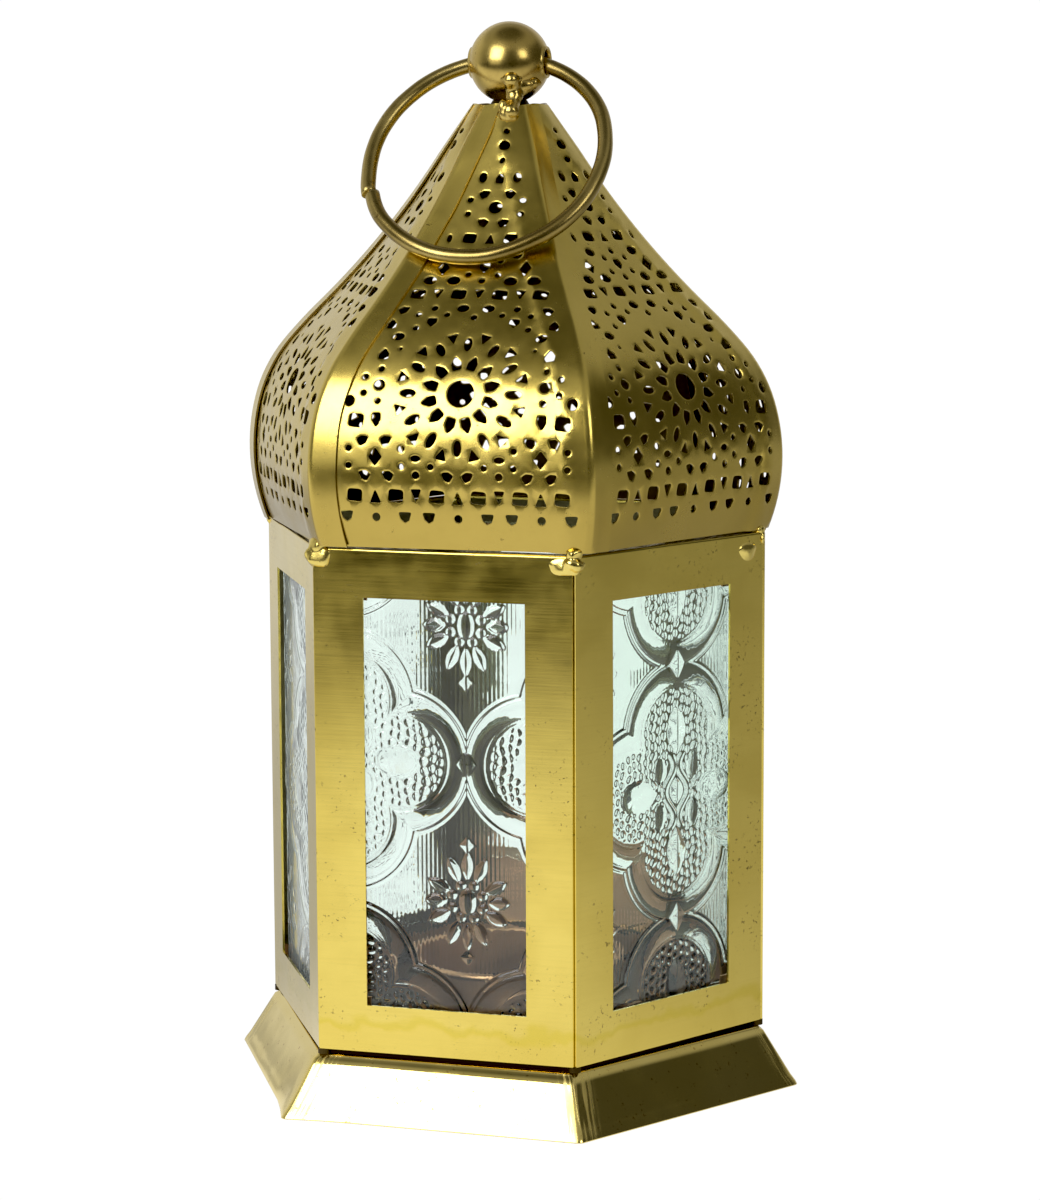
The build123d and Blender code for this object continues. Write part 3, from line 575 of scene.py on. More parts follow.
def relief(u, z, middle, lattice_up):
    """The pressed pattern's height in millimetres, with a quatrefoil's middle at the place given."""
    half_x, half_y = LATTICE / 2, lattice_up / 2
    x = (u - middle[0] + half_x) % LATTICE - half_x
    y = (z - middle[1] + half_y) % lattice_up - half_y
    lobes = [np.hypot(x - s * LOBE, y) for s in (-1, 1)]
    lobes += [np.hypot(x, y - s * LOBE * 1.05) for s in (-1, 1)]
    field = np.minimum(np.minimum.reduce(lobes) - BEADS, np.hypot(x, y) - 7.6)
    height = 0.5 * dome_over(((field - 2.3) / 2.0) ** 2)
    height += 0.14 * ridge(field - 0.05, 0.2) + 0.32 * ridge(field - 4.8, 0.34)

    # Rows of upright beads
    wander = 0.28 * np.sin(y * 0.9 + x * 0.5) + 0.15 * np.sin(x * 1.7 + 1.0)
    column = np.round((x + wander) / 1.6)
    beside = x + wander - column * 1.6
    above = y + 0.95 * (column % 2) + 0.2 * np.sin(column * 2.4)
    above -= np.round(above / 1.9) * 1.9
    beads = 0.27 * dome_over((beside / 0.58) ** 2 + (above / 0.72) ** 2)

    upright = lens(x, np.abs(y) - 12.0, 2.7, 4.9)
    level = dome_over((y / 3.3) ** 2 + ((np.abs(x) - 10.4) / 4.6) ** 2)
    seed = lens(x, y, 1.9, 2.6)
    stem_at = 1.9 + 1.35 * np.cos(2 * pi * y / 10.2)
    stem = dome_over(((np.abs(x) - stem_at) / 0.85) ** 2) * np.clip((7.6 - np.abs(y)) / 0.8, 0, 1)
    flare = 0.7 + 0.09 * np.clip(np.abs(x) - 3, 0, None) ** 2
    arms = dome_over(((np.abs(y) - flare) / 0.6) ** 2) * (np.abs(x) > 3.6) * (np.abs(x) < 6.2)
    shoulders = dome_over((np.abs(x) - 4.5) ** 2 / 3.2 + (np.abs(y) - 4.6) ** 2 / 6.0)
    stems = (np.abs(x) < stem_at + 1.3) & (np.abs(y) < 7.6)
    plain = (upright > 0) | (level > 0) | stems | (shoulders > 0)
    height += beads * (field < -0.7) * ~plain
    height += 0.62 * upright + 0.42 * level + 0.5 * seed + 0.3 * stem + 0.2 * arms
    height += 0.26 * shoulders * (level <= 0)

    # A small diamond where two quatrefoils meet
    for a, b in ((half_x - np.abs(x), y), (x, half_y - np.abs(y))):
        height += 0.55 * np.clip(1 - np.abs(a) / 2.0 - np.abs(b) / 2.9, 0, None) ** 0.8

    # A flower between four quatrefoils, on ground that is faintly fluted
    fx, fy = half_x - np.abs(x), half_y - np.abs(y)
    flower = 0.5 * dome_over((fx / 1.6) ** 2 + (fy / 2.7) ** 2)
    petals = ((0, 4.3, 9.6, 1.0), (24, 4.2, 9.2, 1.05), (62, 4.0, 8.8, 1.2), (90, 4.2, 8.4, 1.3))
    for turn, near, far, width in petals:
        t = radians(turn)
        along = fx * sin(t) + fy * cos(t)
        across = fx * cos(t) - fy * sin(t)
        petal = lens(across, along - (near + far) / 2, width, (far - near) / 2)
        flower = np.maximum(flower, 0.5 * np.sqrt(petal))
    for k in range(3):
        t = radians(22.5 + 45 * k)
        knob = ((fx - 3.3 * sin(t)) / 0.9) ** 2 + ((fy - 3.3 * cos(t)) / 0.9) ** 2
        flower = np.maximum(flower, 0.34 * dome_over(knob))
    flower = np.maximum(flower, 0.5 * np.clip(1 - np.abs(fx) / 1.7 - np.abs(fy - 11.0) / 1.8, 0, None))
    shallow = 0.010 + 0.016 * np.clip(np.sin(x * 0.35 + y * 0.22), 0, 1)
    flutes = shallow * (1 + np.cos(2 * pi * x / 0.87)) * (field > 5.6) * (flower < 0.02)
    return height + flower + flutes


PANE_FRONT = APOTHEM - SHEET - GAP
PANE_DEPTH = 2.15  # from its back to the highest points of its pattern
GROUND_DEPTH = 0.95  # from those down to the pattern's ground


def make_glass(name, turn, front, middle, body, node, bottom=WINDOW_BOTTOM, worn=1.0, material=clear_glass):
    """A pane with the pressed pattern on its outer face, whose highest points lie at front."""
    half_u, low, high = WINDOW_HALF + 1.6, bottom - 2, WINDOW_TOP + 2
    columns, rows = 168, int((high - low) * 4.7)
    u, z = np.meshgrid(np.linspace(-half_u, half_u, columns), np.linspace(low, high, rows))
    height = relief(u, z, middle[:2], middle[2]) * worn
    height += 0.10 * np.sin(u / 9.0 + turn) * np.cos(z / 13.0 + 2 * turn)
    depth = front - GROUND_DEPTH + np.clip(height * 0.8, -0.2, GROUND_DEPTH - 0.02)
    verts = np.stack([u.ravel(), -depth.ravel(), z.ravel()], 1).tolist()
    faces = grid_faces(rows, columns)
    rim = list(range(columns))
    rim += [r * columns + columns - 1 for r in range(1, rows)]
    rim += [(rows - 1) * columns + k for k in range(columns - 2, -1, -1)]
    rim += [r * columns for r in range(rows - 2, 0, -1)]
    start, count = len(verts), len(rim)
    verts += [(verts[i][0], PANE_DEPTH - front, verts[i][2]) for i in rim]
    faces += [(rim[(k + 1) % count], rim[k], start + k, start + (k + 1) % count) for k in range(count)]
    faces.append([start + k for k in range(count)][::-1])
    pane = outward(new_object(name, turned(verts, 60 * turn), faces, material))
    pane.data.set_sharp_from_angle(angle=radians(60))
    return keep(pane, body, "glass", node)


PANES = {  # a quatrefoil's middle on each pane, and how far the next one up is
    "front": (-20.5, 70.2, 53.5),
    "front_right": (2.6, 62.4, 50.0),
    "back_right": (14.0, 50.0, 51.0),
    "back_left": (-9.0, 68.0, 51.0),
    "front_left": (8.0, 58.0, 51.0),
}
UNLIKE = {"front_right": {"material": green_glass}, "front_left": {"worn": 0.3}}
for turn, side in enumerate(SIDES):
    if side != DOOR_SIDE:
        extra = UNLIKE.get(side, {})
        make_glass(f"glass_pane_{side}", turn, PANE_FRONT, PANES[side], "lantern", f"glass_{side}", **extra)
door_turn = SIDES.index(DOOR_SIDE)
make_glass("door_pane", door_turn, APOTHEM + GAP, (3.0, 74.0, 51.0), "door", "door_glass", DOOR_WINDOW_BOTTOM)


# -------- dome
def dome_point(length):
    """Distance from the axis, height and lean on a panel's middle line, at a length from its foot."""
    distance, height = DOME_FOOT
    angle = radians(DOME_LEAN)
    for number, (radius, run) in enumerate(DOME_RUNS):
        last = number == len(DOME_RUNS) - 1
        here = length if last else min(length, run)
        turn = here / radius
        distance += radius * (cos(angle) - cos(angle + turn))
        height += radius * (sin(angle + turn) - sin(angle))
        angle += turn
        length -= here
        if length <= 0:
            break
    return distance, height, angle


FOLD = 1.7  # radius of the ridge's fold, at the sheet's middle
FOLD_START = FOLD * HALF_SIDE
FOLD_LENGTH = FOLD * radians(60)
OVERLAP = SHEET + 0.1  # how far the folded strip stands off the panel under it
NECK_FROM, NECK_TAPER = 84, 0.8  # where the panels start to draw in under the ball, and how far they do
BULGE = 0.45  # how far a panel's middle swells, and the border beside its ridge


def ridge_x(length):
    """Where the panel's plane meets the plane of the strip folded over the next panel."""
    distance, _, angle = dome_point(length)
    return (distance / 2 + OVERLAP / cos(angle)) / sin(radians(60))


def strip_width(length):
    """The folded strip's width past the ridge: wide at the foot, narrow at the neck, cut by hand."""
    return 4.4 - 1.5 * (max(length, 0) / DOME_LENGTH) ** 1.5 + 0.22 * ripple(length, 0, 0, 9, 5)


def on_panel(across, length, out, seed):
    """A point of the sheet. across runs along the sheet from the panel's middle, over the fold and on."""
    distance, height, angle = dome_point(length)
    start = ridge_x(length) - FOLD_START
    turn = min(max(0.0, across - start) / FOLD, radians(60))
    more = max(0.0, across - start - FOLD_LENGTH)
    x = min(across, start) + FOLD * sin(turn) + more * cos(turn)
    y = FOLD * (1 - cos(turn)) + more * sin(turn) - distance
    out += (0.12 + 0.5 * (length / DOME_LENGTH) ** 5) * (more / strip_width(length)) ** 2
    out -= NECK_TAPER * max(0.0, (length - NECK_FROM) / (DOME_LENGTH - NECK_FROM)) ** 1.5
    level, up = cos(angle), -sin(angle)
    dent = 0.16 * ripple(across, length, 0, 16, seed) + 0.03 * ripple(across, length, 3, 6, seed + 2)
    calm = min(1.0, max(0.0, (start - abs(across)) / 3))
    out += dent * calm
    if across < start:
        to_ridge = start - across
        out += BULGE * (1 - (across / start) ** 2) * min(1.0, length / 6)
        out += BULGE * min(to_ridge / 4.6, 1.0, max(0.0, (6.0 - to_ridge) / 1.4))
    return x + sin(turn) * level * out, y - cos(turn) * level * out, height + up * out


def circle_outline(width, height, count=14):
    """A circle or an ellipse, as points."""
    return [(width / 2 * cos(2 * pi * k / count), height / 2 * sin(2 * pi * k / count)) for k in range(count)]


def rounded(corners, radius, per_corner=4):
    """A polygon's outline with each corner rounded."""
    outline = []
    for i, corner in enumerate(corners):
        here = Vector(corner)
        before = Vector(corners[i - 1]) - here
        after = Vector(corners[(i + 1) % len(corners)]) - here
        back = min(radius / tan(before.angle(after) / 2), 0.48 * before.length, 0.48 * after.length)
        first, last = here + before.normalized() * back, here + after.normalized() * back
        for k in range(per_corner):
            t = k / (per_corner - 1)
            outline.append(first * (1 - t) ** 2 + here * 2 * t * (1 - t) + last * t * t)
    return [(p.x, p.y) for p in outline]


def dot(width, height):
    return circle_outline(width, height, 12 if max(width, height) < 1.8 else 18)


def moon(width, height):
    """A punched hole with a flat top and a blunt point below."""
    w, h = width / 2, height / 2
    return rounded([(-w, h), (-w * 0.7, -h * 0.3), (-w * 0.1, -h), (w * 0.6, -h * 0.5), (w, h)], 0.4)


def triangle(width, height):
    return rounded([(-width / 2, -height / 2), (width / 2, -height / 2), (0, height / 2)], 0.3)


def diamond(width, height):
    return rounded([(0, -height / 2), (width / 2, 0), (0, height / 2), (-width / 2, 0)], 0.3)


def square(width, height):
    w, h = width / 2, height / 2
    return rounded([(-w, -h * 0.8), (w * 0.85, -h), (w, h * 0.85), (-w * 0.8, h)], 0.75)


def drop(width, height):
    """A teardrop whose point is up."""
    w, h = width / 2, height / 2
    shoulder = -h * 0.05
    return rounded([(-w * 0.9, -h), (w * 0.9, -h), (w * 0.95, shoulder), (0, h), (-w * 0.95, shoulder)], 0.5)


# Each punch's shape, width, height and turn in degrees, and its holes: how far up the flat panel, and how far
# to both sides of the pattern's middle
PUNCHES = {
    (dot, 1.5, 1.5, 0): ((6.3, 0, 16.1),),
    (moon, 2.4, 1.9, 0): ((6.3, 5.7, 10.4, 21.9),),
    (triangle, 2.1, 2.5, 0): ((10.4, 0, 16.1),),
    (square, 2.9, 2.4, 0): ((10.4, 4.05, 20.2),),
    (triangle, 2.0, 2.5, 180): ((10.4, 8.1),),
    (square, 2.9, 2.5, 0): ((10.4, 12.1),),
    (drop, 1.7, 2.3, -60): ((14.4, 2.2, 13.8, 18.4), (69.0, 2.25)),
    (dot, 1.4, 1.4, 0): ((14.4, 8.1),),
    (dot, 1.2, 1.2, 0): (
        (16.0, 5.2, 10.9, 21.3), (19.2, 10.9, 21.3), (28.2, 16.1), (29.8, 19.05), (33.0, 19.05),
        (34.6, 16.1), (43.8, 11.0), (47.0, 5.4, 11.0), (56.7, 2.9), (60.0, 2.9), (70.8, 5.3),
        (74.0, 5.2), (82.7, 0), (89.2, 0),
    ),
    (dot, 1.9, 1.2, 0): ((17.5, 8.15),),
    (diamond, 2.5, 3.3, 0): ((17.7, 16.1),),
    (drop, 1.7, 2.3, 60): ((20.9, 13.8, 18.4), (48.3, 13.9), (75.4, 2.3)),
    (drop, 1.7, 2.8, 180): ((24.4, 16.1),),
    (square, 2.9, 2.6, 0): ((24.4, 20.1),),
    (dot, 1.9, 2.1, 0): ((28.2, 21.7),),
    (dot, 2.0, 2.0, 0): ((31.35, 16.1), (86.0, 0)),
    (drop, 2.0, 2.4, 0): ((38.0, 16.2),),
    (dot, 0.8, 0.8, 0): ((39.0, 13.1),),
    (dot, 2.2, 1.7, 0): ((41.8, 14.0), (48.6, 2.5)),
    (drop, 1.8, 2.3, 0): ((44.9, 15.9),),
    (drop, 2.0, 2.2, 180): ((45.1, 8.1),),
    (dot, 1.3, 1.3, 0): ((46.4, 0), (48.6, 8.1), (55.3, 0), (61.6, 0)),
    (triangle, 1.9, 2.3, 180): ((52.0, 0, 8.1),),
    (square, 2.9, 2.3, 0): ((52.0, 4.05, 12.1),),
    (dot, 2.4, 1.9, 0): ((55.3, 5.6, 10.3),),
    (drop, 2.0, 2.4, 180): ((58.3, 0),),
    (diamond, 2.3, 3.2, 0): ((58.3, 8.1),),
    (dot, 2.2, 1.8, 0): ((61.6, 5.9),),
    (triangle, 1.9, 2.3, 0): ((65.2, 0),),
    (square, 2.7, 2.2, 0): ((65.2, 4.1),),
    (dot, 1.0, 1.8, 0): ((65.2, 8.1),),
    (dot, 2.5, 2.5, 0): ((72.3, 0),),
    (drop, 1.7, 2.3, 0): ((79.0, 0),),
    (dot, 1.5, 2.1, 0): ((79.0, 3.4),),
}
ROSETTE_UP, ROSETTE_HOLE, ROSETTE_PETALS = 29.8, 2.7, 12
ROSETTE = (  # rings of petals: distance from the middle, first angle, shape, width, height and turn
    (6.45, 15, drop, 1.9, 3.0, 0),
    (10.3, 0, dot, 1.5, 2.8, 0),
    (11.7, 15, triangle, 2.2, 2.2, 180),
)
# By half: how much larger the holes are than in CAD, and where the sheet starts, next to its foot
HALVES = {"front": (1.14, -0.1), "back": (1.0, -0.65)}


def placed(outline, across, up, angle):
    """An outline turned by an angle in degrees and moved to its place."""
    c, s = cos(radians(angle)), sin(radians(angle))
    return [(across + x * c - y * s, up + x * s + y * c) for x, y in outline]


def hole_outlines(growth):
    """Every hole's outline on the flattened panel."""
    for (shape, width, height, angle), holes in PUNCHES.items():
        outline = shape(width * growth, height * growth)
        for up, *distances in holes:
            for distance in distances:
                yield placed(outline, PATTERN_X + distance, up, angle)
                if distance:
                    yield placed(outline, PATTERN_X - distance, up, -angle)
    yield placed(circle_outline(2 * ROSETTE_HOLE, 2 * ROSETTE_HOLE, 28), PATTERN_X, ROSETTE_UP, 0)
    for reach, first, shape, width, height, turn in ROSETTE:
        for petal in range(ROSETTE_PETALS):
            angle = first + petal * 360 / ROSETTE_PETALS
            up = ROSETTE_UP + reach * cos(radians(angle))
            across = PATTERN_X - reach * sin(radians(angle))
            yield placed(shape(width * growth, height * growth), across, up, angle + turn)


BURR = ((0.0, -0.06), (0.18, -0.015), (0.36, 0.0))  # distance from a hole, and how far the metal is drawn in
EDGE = 0.35  # from a panel's left border to the middle of the ridge there


def panel_flat(growth, foot):
    """The flat panel round its holes: points, how far each is drawn in, and triangles."""
    ups = steps(foot, DOME_LENGTH, 1.6)
    left_edge = [EDGE - dome_point(s)[0] * HALF_SIDE for s in ups]
    fold_start = [ridge_x(s) - FOLD_START for s in ups]
    left = [(x + 0.1 * ripple(s, 9, 0, 6, 2), s) for x, s in zip(left_edge, ups)]
    right = [(x + FOLD_LENGTH + strip_width(s), s) for x, s in zip(fold_start, ups)]
    bottom = [(x, foot) for x in steps(right[0][0], left[0][0], 1.6)[1:-1]]
    top = [(x, DOME_LENGTH) for x in steps(left[-1][0], right[-1][0], 1.0)[1:-1]]
    border = left + top + right[::-1] + bottom
    points, drawn = list(border), [0.0] * len(border)
    edges = [(i, (i + 1) % len(border)) for i in range(len(border))]
    holes = [np.array(h) for h in hole_outlines(growth)]
    centres = np.array([h.mean(0) for h in holes])
    reach = np.array([np.hypot(*(h - h.mean(0)).T).max() for h in holes])
    for hole in holes:
        start = len(points)
        points += [tuple(p) for p in hole]
        drawn += [BURR[0][1]] * len(hole)
        edges += [(start + k, start + (k + 1) % len(hole)) for k in range(len(hole))]

    def near(x, y, margin=0.0):
        return (holes[i] for i in np.nonzero(np.hypot(*(centres - (x, y)).T) < reach + margin)[0])

    def clear(x, y, margin):
        for hole in near(x, y, margin):
            if np.hypot(*(hole - (x, y)).T).min() <= margin or inside(hole, x, y):
                return False
        return True

    for hole, centre in zip(holes, centres):
        outwards = hole - centre
        outwards /= np.maximum(np.hypot(*outwards.T), 1e-6)[:, None]
        for distance, depth in BURR[1:]:
            for x, y in (hole + outwards * distance):
                if clear(x, y, distance * 0.8) and y < DOME_LENGTH - 0.1:
                    points.append((x, y))
                    drawn.append(depth)
    for s, low, start in list(zip(ups, left_edge, fold_start))[1:-1]:
        columns = steps(low + 1.2, start - 0.4, 1.7)
        columns += [start + FOLD_LENGTH * k / 5 for k in range(6)]
        columns += [start + FOLD_LENGTH + strip_width(s) * k for k in (0.3, 0.6, 0.88)]
        for x in columns:
            if clear(x, s, 0.6):
                points.append((x, s))
                drawn.append(0.0)
    flat, _, triangles, origin, _, _ = delaunay_2d_cdt([Vector(p) for p in points], edges, [], 1, 1e-5)
    drawn = [max((drawn[i] for i in source), key=abs, default=0.0) for source in origin]
    kept = []
    for face in triangles:
        x = sum(flat[i].x for i in face) / len(face)
        y = sum(flat[i].y for i in face) / len(face)
        if not any(inside(hole, x, y) for hole in near(x, y)):
            kept.append(face)
    return flat, drawn, kept


def inside(outline, x, y):
    """Whether a point is inside an outline."""
    a, b = outline, np.roll(outline, -1, 0)
    crosses = (a[:, 1] > y) != (b[:, 1] > y)
    with np.errstate(divide="ignore", invalid="ignore"):
        at = a[:, 0] + (y - a[:, 1]) * (b[:, 0] - a[:, 0]) / (b[:, 1] - a[:, 1])
    return bool(np.count_nonzero(crosses & (x < at)) % 2)


SHEETS = {half: panel_flat(*made) for half, made in HALVES.items()}
for turn, side in enumerate(SIDES):
    flat, drawn, triangles = SHEETS[side.split("_")[0]]
    verts = [on_panel(p.x, p.y, depth, turn + 20) for p, depth in zip(flat, drawn)]
    panel = new_object(f"dome_sheet_{side}", turned(verts, 60 * turn + DOME_TURN), triangles, dome_brass)
    drop_loose(panel)
    # The inner face and the cut edges carry painted shade
    thicken(panel, DRAWN_SHEET, 0.0, painted_shade_brass, painted_shade_rim_brass)
    soften(panel, 0.07, 1, 50)
    keep(panel, "lantern", "dome_brass", f"dome_panel_{side}")


# -------- finial and ring
def revolve(profile, axis, origin, segments=64):
    """A closed outline of (along, radius) points turned about an axis through origin."""
    axis = Vector(axis).normalized()
    side = axis.orthogonal().normalized()
    other = axis.cross(side)
    verts = []
    for along, radius in profile:
        for k in range(segments):
            angle = 2 * pi * k / segments
            verts.append(Vector(origin) + axis * along + (side * cos(angle) + other * sin(angle)) * radius)
    faces = grid_faces(len(profile), segments, wrap=True)
    return [tuple(v) for v in verts], faces


BORE_MOUTH = 7.25  # from the ball's middle to where the bore's collar starts


def make_ball():
    """The ball with its bore and collars, turned about the bore's axis."""
    start = pi - acos(BORE_MOUTH / BALL_RADIUS)
    bead = ((0.15, 3.25), (0.5, 3.1), (0.55, 2.85), (0.4, 2.55), (-0.2, BORE_RADIUS))
    collar = [(BORE_MOUTH + out, radius) for out, radius in bead]
    profile = [(-x, radius) for x, radius in collar[::-1]]
    profile += [(BALL_RADIUS * cos(a), BALL_RADIUS * sin(a)) for a in steps(start, pi - start, 0.07)]
    profile += collar
    profile += [(x, BORE_RADIUS) for x in steps(BORE_MOUTH - 0.2, 0.2 - BORE_MOUTH, 2)[1:-1]]
    profile.append(profile[0])
    smooth, faces = revolve(profile, (1, 0, 0), (0, 0, BALL_Z), 72)
    verts = []
    for x, y, z in smooth:
        worn = 0 if hypot(y, z - BALL_Z) < BORE_RADIUS + 0.5 else 1
        verts.append((x, y + worn * 0.04 * ripple(x, y, z, 4, 1), z + worn * 0.05 * ripple(x, y, z, 5, 2)))
    ball = weld(new_object("ball", verts, faces, antique_brass))
    return keep(ball, "lantern", "antique_brass", "finial_ball")


make_ball()


def make_ring():
    """The ring of bent wire, whose two ends butt with a small step."""
    lean, tilt = radians(RING_LEAN), radians(RING_TILT)
    normal = Vector((0, cos(lean), -sin(lean)))
    level, straight_down = Vector((1, 0, 0)), Vector((0, -sin(lean), -cos(lean)))
    right = level * cos(tilt) + straight_down * sin(tilt)
    down = straight_down * cos(tilt) - level * sin(tilt)
    centre = Vector((0, 0, BALL_Z)) + down * (RING_RADIUS - RING_DROP)
    sides = 20
    angles = steps(RING_SEAM_AT + RING_SEAM_HALF, RING_SEAM_AT + 360 - RING_SEAM_HALF, 2.0)
    rings = []
    for degrees_round in angles:
        angle = radians(degrees_round)
        out = right * cos(angle) + down * sin(angle)
        from_start, from_end = degrees_round - angles[0], angles[-1] - degrees_round
        step_out = 0.42 * exp(-((from_start / 9) ** 2)) - 0.2 * exp(-((from_end / 7) ** 2))
        in_bore = abs(degrees_round % 360 - 270) < 26
        bent = 0 if in_bore else 0.18 * ripple(cos(angle) * 3, sin(angle) * 3, 0, 1, 4)
        rings.append((centre + out * (RING_RADIUS + step_out + bent), out, WIRE_RADIUS))
    # Each end is rounded off by one smaller ring
    ends = []
    for end, inner in ((rings[0], rings[1]), (rings[-1], rings[-2])):
        ends.append((end[0] + (end[0] - inner[0]).normalized() * 0.12, end[1], WIRE_RADIUS * 0.88))
    rings = [ends[0], *rings, ends[1]]
    verts = []
    for spot, out, radius in rings:
        for k in range(sides):
            turn = 2 * pi * k / sides
            away = out * cos(turn) + normal * sin(turn)
            place = spot + away * radius
            verts.append(tuple(place + away * 0.03 * ripple(*place, 2.5, 8)))
    faces = grid_faces(len(rings), sides, wrap=True)
    faces.append(tuple(range(sides))[::-1])
    faces.append(tuple(range(len(verts) - sides, len(verts))))
    ring = outward(new_object("ring_wire", verts, faces, ring_brass))
    return keep(ring, "ring", "antique_brass", "ring_handle")


make_ring()


# -------- solder
UP = Vector((0, 0, 1))


def blob(centre, sizes, axes, seed, rough=0.12, count=3):
    """A lump of solder: a sphere stretched along three axes, with an uneven surface."""
    work = bmesh.new()
    bmesh.ops.create_icosphere(work, subdivisions=count, radius=1.0)
    verts = []
    for v in work.verts:
        swell = 1 + rough * noise.noise(v.co * 1.3 + Vector((seed, 0, 0))) * 2
        place = Vector(centre)
        for axis, size, part in zip(axes, sizes, v.co * swell):
            place += Vector(axis) * size * part
        verts.append(tuple(place))
    faces = [tuple(v.index for v in f.verts) for f in work.faces]
    work.free()
    return verts, faces


def joined(parts):
    """Several (verts, faces) as one."""
    verts, faces = [], []
    for some_verts, some_faces in parts:
        start = len(verts)
        verts += some_verts
        faces += [tuple(i + start for i in face) for face in some_faces]
    return verts, faces


def melted(name, parts, material, size=0.22, rounds=4):
    """Lumps of solder that have run into each other, in rounds of smoothing."""
    obj = new_object(name, *joined(parts), material)
    remesh = obj.modifiers.new("melt", "REMESH")
    remesh.mode = "VOXEL"
    remesh.voxel_size = size * MM
    remesh.use_smooth_shade = True
    smooth = obj.modifiers.new("smooth", "SMOOTH")
    smooth.iterations = rounds
    return obj


def bearing(degrees_round):
    """The level directions outwards and to the right, at an angle from +X."""
    out = Vector((cos(radians(degrees_round)), sin(radians(degrees_round)), 0))
    return out, Vector((-out.y, out.x, 0))


def make_roof_solder():
    """Each corner under the dome has its own bead, listed one by one, and runs down the walls beside it.

    A run is how far it lies along the wall from the corner, to the right if above 0, how far up, and its
    sizes.
    """
    run_down = ((-2.3, -2.2, 3.5, 1.0, 1.9), (-0.5, -1.7, 2.1, 1.7, 1.6), (1.3, -2.2, 1.9, 0.75, 1.6))
    beads = (
        ((1.7, 1.7, 1.5), run_down),
        ((1.3, 1.2, 1.2), ((0.4, -1.2, 1.4, 0.7, 1.4), (-4.6, -3.4, 3.2, 1.1, 2.2))),
        ((1.7, 1.3, 1.3), ((-0.8, -1.0, 1.8, 0.8, 1.1),)),
        ((1.4, 1.4, 1.5), ((0.9, -1.1, 2.0, 0.8, 1.2),)),
        ((1.6, 1.3, 1.2), ((-0.5, -0.9, 1.6, 0.7, 1.3),)),
        ((2.2, 1.5, 1.6), ((0.9, -1.9, 2.9, 1.3, 2.3), (-1.3, 0.2, 1.2, 0.8, 0.9))),
    )
    parts = []
    for corner, (bead, runs) in enumerate(beads):
        azimuth = 60 * corner - 60
        out, right = bearing(azimuth)
        at = out * (2 * WALL_HALF - 1.2) + UP * (WALL_TOP + 0.25)
        parts.append(blob(at, bead, (right, out, UP), corner * 5 + 1))
        for along, up, *sizes in runs:
            wall_out, wall_right = bearing(azimuth + (30 if along > 0 else -30))
            spot = out * (2 * WALL_HALF - 0.3) - wall_out * 0.35 + wall_right * along + UP * (WALL_TOP + up)
            parts.append(blob(spot, sizes, (wall_right, wall_out, UP), corner * 5 + along))
    solder = melted("corner_solder", parts, solder_brass)
    return keep(solder, "lantern", "solder", "roof_solder")


make_roof_solder()


def make_neck():
    """The fill in the dome's neck, near-black with painted shade, and the solder that ran down from the ball
    in two streams.
    """
    outline = [(190.8, 0.1), (190.8, 7.2), (192.6, 6.6), (193.6, 5.6)]
    outline += [(194.2, 4.0), (195.2, 3.4), (195.6, 2.6)]
    verts, faces = revolve(outline, (0, 0, 1), (0, 0, 0), 40)
    # The fill is painted shade: near-black, for the dark hollow under the ball
    keep(new_object("neck_fill_painted_shade", verts, faces, painted_shade_brass), "lantern", "solder")
    towards, right = bearing(-73.25)

    def on_ball(across, z):
        level = sqrt(BALL_RADIUS**2 - (BALL_Z - z) ** 2)
        return right * across + towards * sqrt(max(level**2 - across**2, 0.1)) + UP * z

    def lump(place, sizes, seed, rough=0.04, count=3):
        return blob(place, sizes, (right, towards, UP), seed, rough, count)

    left_top, right_top = on_ball(0.3, 199.2), on_ball(4.7, 198.6)
    meeting = right * 0.9 + towards * 6.4 + UP * 196.0
    drop = right * 0.2 + towards * 8.6 + UP * 193.2
    parts = []
    for start, end, thick in ((left_top, meeting, 1.75), (right_top, meeting, 1.3), (meeting, drop, 1.75)):
        for k in range(7):
            bend = sin(pi * k / 6)
            radius = thick * (1 - 0.12 * bend)
            parts.append(lump(start.lerp(end, k / 6) - towards * 0.3 * bend, (radius,) * 3, k, 0.03, 2))
    parts += [
        lump(drop + right * -0.4 + UP * -0.7, (2.1, 1.2, 1.9), 3, 0.05),
        lump(drop + right * -1.5 + UP * 0.6, (1.0, 1.0, 1.7), 6, 0.05),
        lump(left_top + UP * 0.2, (2.3, 0.7, 0.8), 4),
        lump(on_ball(2.3, 198.2) - towards * 0.2, (2.4, 0.9, 1.4), 7),
        lump(right_top + right * 0.4, (1.2, 0.6, 0.8), 5, 0.1),
    ]
    solder = melted("neck_solder", parts, antique_brass, 0.16, rounds=14)
    return keep(solder, "lantern", "solder", "finial_solder")


make_neck()


# -------- CAD nodes that stay, with a finish and soft edges
ANTIQUE = ("hinge_plates", "hinge_pins", "door_knob", "latch_button", "latch_pin", "finial_stem")
HIDDEN = ("base_floor", "candle_cup", "glass_clips", "door_glass_clips", "finial_plug")
PLAIN = (
    (antique_brass, "antique_brass", ANTIQUE),
    # inside parts: copper-brown brass with painted shade low down
    (inside_brass, "brass_inside", HIDDEN),
    (door_brass, "wall_brass", ("door_leaf",)),
    (solder_brass, "solder", ("candle_cup_solder",)),
    # The solder low at the wall corners is made near-black: painted shade in the gap under the body
    (painted_shade_brass, "solder", ("base_solder",)),
)
for material, slot, nodes in PLAIN:
    for node in nodes:
        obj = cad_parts[node]
        obj.data.materials.clear()
        obj.data.materials.append(material)
        soften(obj, 0.08)


# -------- floor, light and camera
FLOOR_HALF = 9000
WHITE = (1.0, 1.0, 1.0)
BACKGROUND = 1.02  # how bright the floor and the background are to the camera


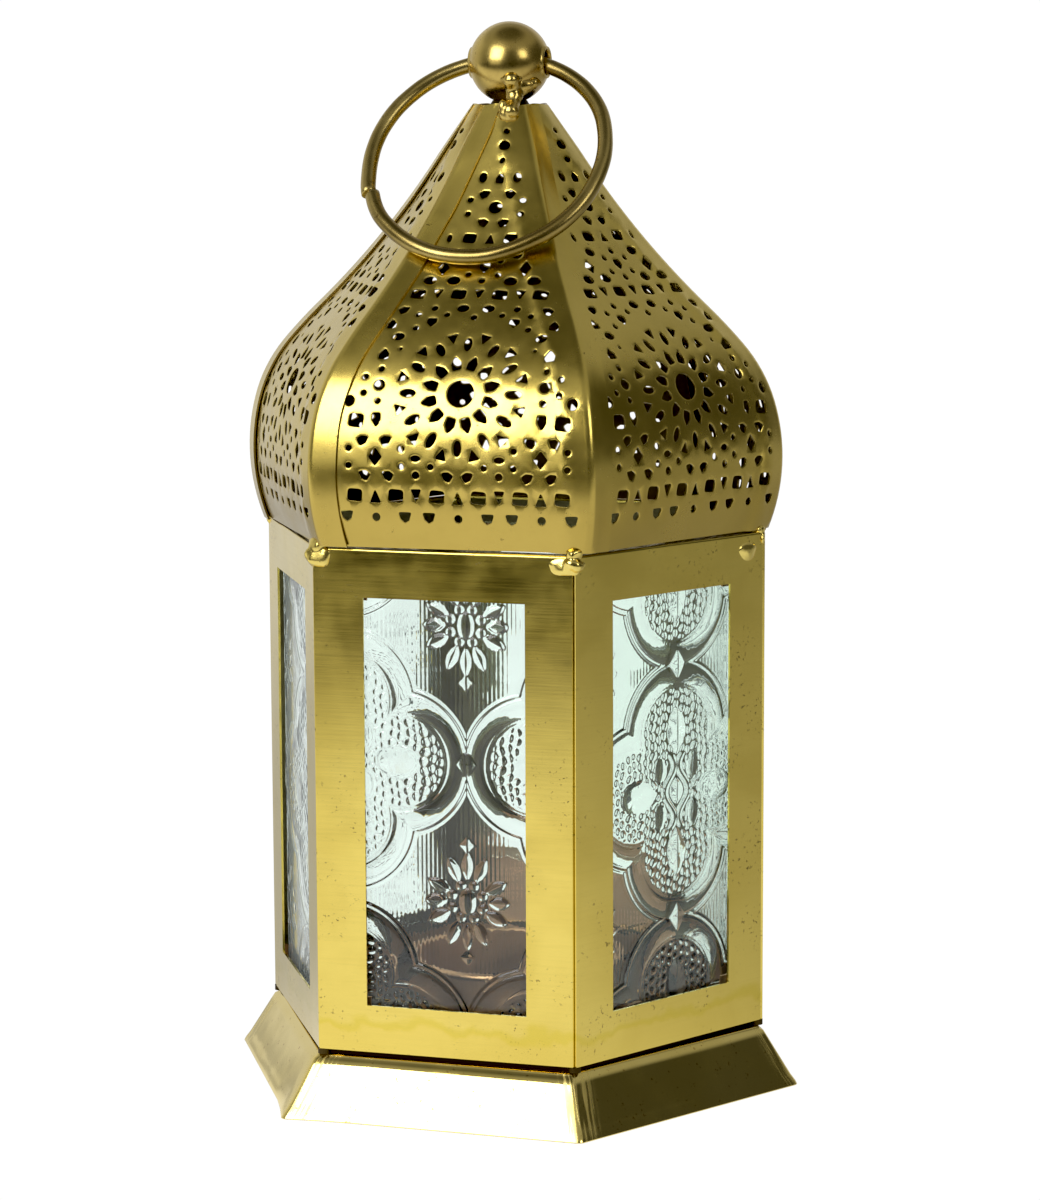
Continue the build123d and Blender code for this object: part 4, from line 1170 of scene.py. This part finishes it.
def make_floor():
    """White paper. In the metal's reflections it falls off into the dim room in front of it."""
    n = Nodes(bpy.data.materials.new("pale_floor"))
    n.set(Base_Color=(0.0, 0.0, 0.0), Specular_IOR_Level=0.0, Emission_Color=WHITE)
    x, y, _ = n.split()
    reflected = n.range(y, -0.68, -0.31)
    falloffs = ((x, -0.05, 0.12, 0.8), (x, 0.25, 0.95, 0.6), (y, -0.08, 0.07, 0.48), (y, 0.2, 0.6, 1.4))
    for way, start, end, left in falloffs:
        reflected = n.times(reflected, n.range(way, start, end, 1.0, left))
    n.set(Emission_Strength=n.blend(n.in_reflections(), BACKGROUND, reflected))
    corners = [(FLOOR_HALF * i, FLOOR_HALF * j, 0) for i, j in ((-1, -1), (1, -1), (1, 1), (-1, 1))]
    floor = new_object("floor", corners, [(0, 1, 2, 3)], n.owner, smooth=False)
    floor.location.z = -0.0002


make_floor()


def area(name, azimuth, elevation, distance, size, radiance):
    """A soft box at a bearing from the lantern, aimed at it. radiance is in units of the white background."""
    light = bpy.data.lights.new(name, "AREA")
    light.shape = "RECTANGLE"
    light.size, light.size_y = size[0] * MM, size[1] * MM
    light.energy = radiance * pi * light.size * light.size_y
    obj = bpy.data.objects.new(name, light)
    bpy.context.scene.collection.objects.link(obj)
    a, e = radians(azimuth), radians(elevation)
    out = Vector((cos(a) * cos(e), sin(a) * cos(e), sin(e)))
    obj.location = (Vector((0, 0, 100)) + out * distance) * MM
    obj.rotation_euler = (-out).to_track_quat("-Z", "Y").to_euler()
    obj.visible_camera = False


area("front_softbox", -114, 29.5, 1200, (700, 650), 5.5)
area("low_strip", -114, 6, 1250, (700, 250), 0.7)
area("right_softbox", -33, 27, 1300, (430, 430), 3.6)


def make_world():
    """White to the camera. In reflections: a dim room, a bright wall behind and left, and a grey ceiling."""
    world = bpy.data.worlds.new("studio")
    bpy.context.scene.world = world
    n = Nodes(world, "Background")
    view = n.coords["Generated"]
    upwards = n.along(view, (0, 0, 1))
    strength = n.blend(n.range(n.along(view, (-0.6, 0.8, 0)), -0.1, 0.75), 0.06, 0.66)
    strength = n.blend(n.range(upwards, 0.5, 0.68), strength, 0.33)
    strength = n.blend(n.range(upwards, 0.82, 0.95), strength, 0.08)
    n.set(Color=WHITE, Strength=n.blend(n.in_reflections(), BACKGROUND, strength))


make_world()


def make_camera():
    """The camera at the photograph's viewing angle."""
    camera = bpy.data.cameras.new("camera")
    camera.lens = 109.68
    camera.sensor_width = 36
    camera.clip_end = 50
    obj = bpy.data.objects.new("camera", camera)
    bpy.context.scene.collection.objects.link(obj)
    obj.location = Vector((211.2, -696.3, 202.9)) * MM
    aim = Matrix.Identity(3)
    for degrees_round, axis in ((16.75, "Z"), (90 - 8.39, "X"), (-0.25, "Z")):
        aim = aim @ Matrix.Rotation(radians(degrees_round), 3, axis)
    obj.rotation_euler = aim.to_euler()
    bpy.context.scene.camera = obj


make_camera()
view = bpy.context.scene.view_settings
view.view_transform = "Standard"
view.use_curve_mapping = True
view.curve_mapping.black_level = (0.008, 0.008, 0.008)
view.curve_mapping.update()
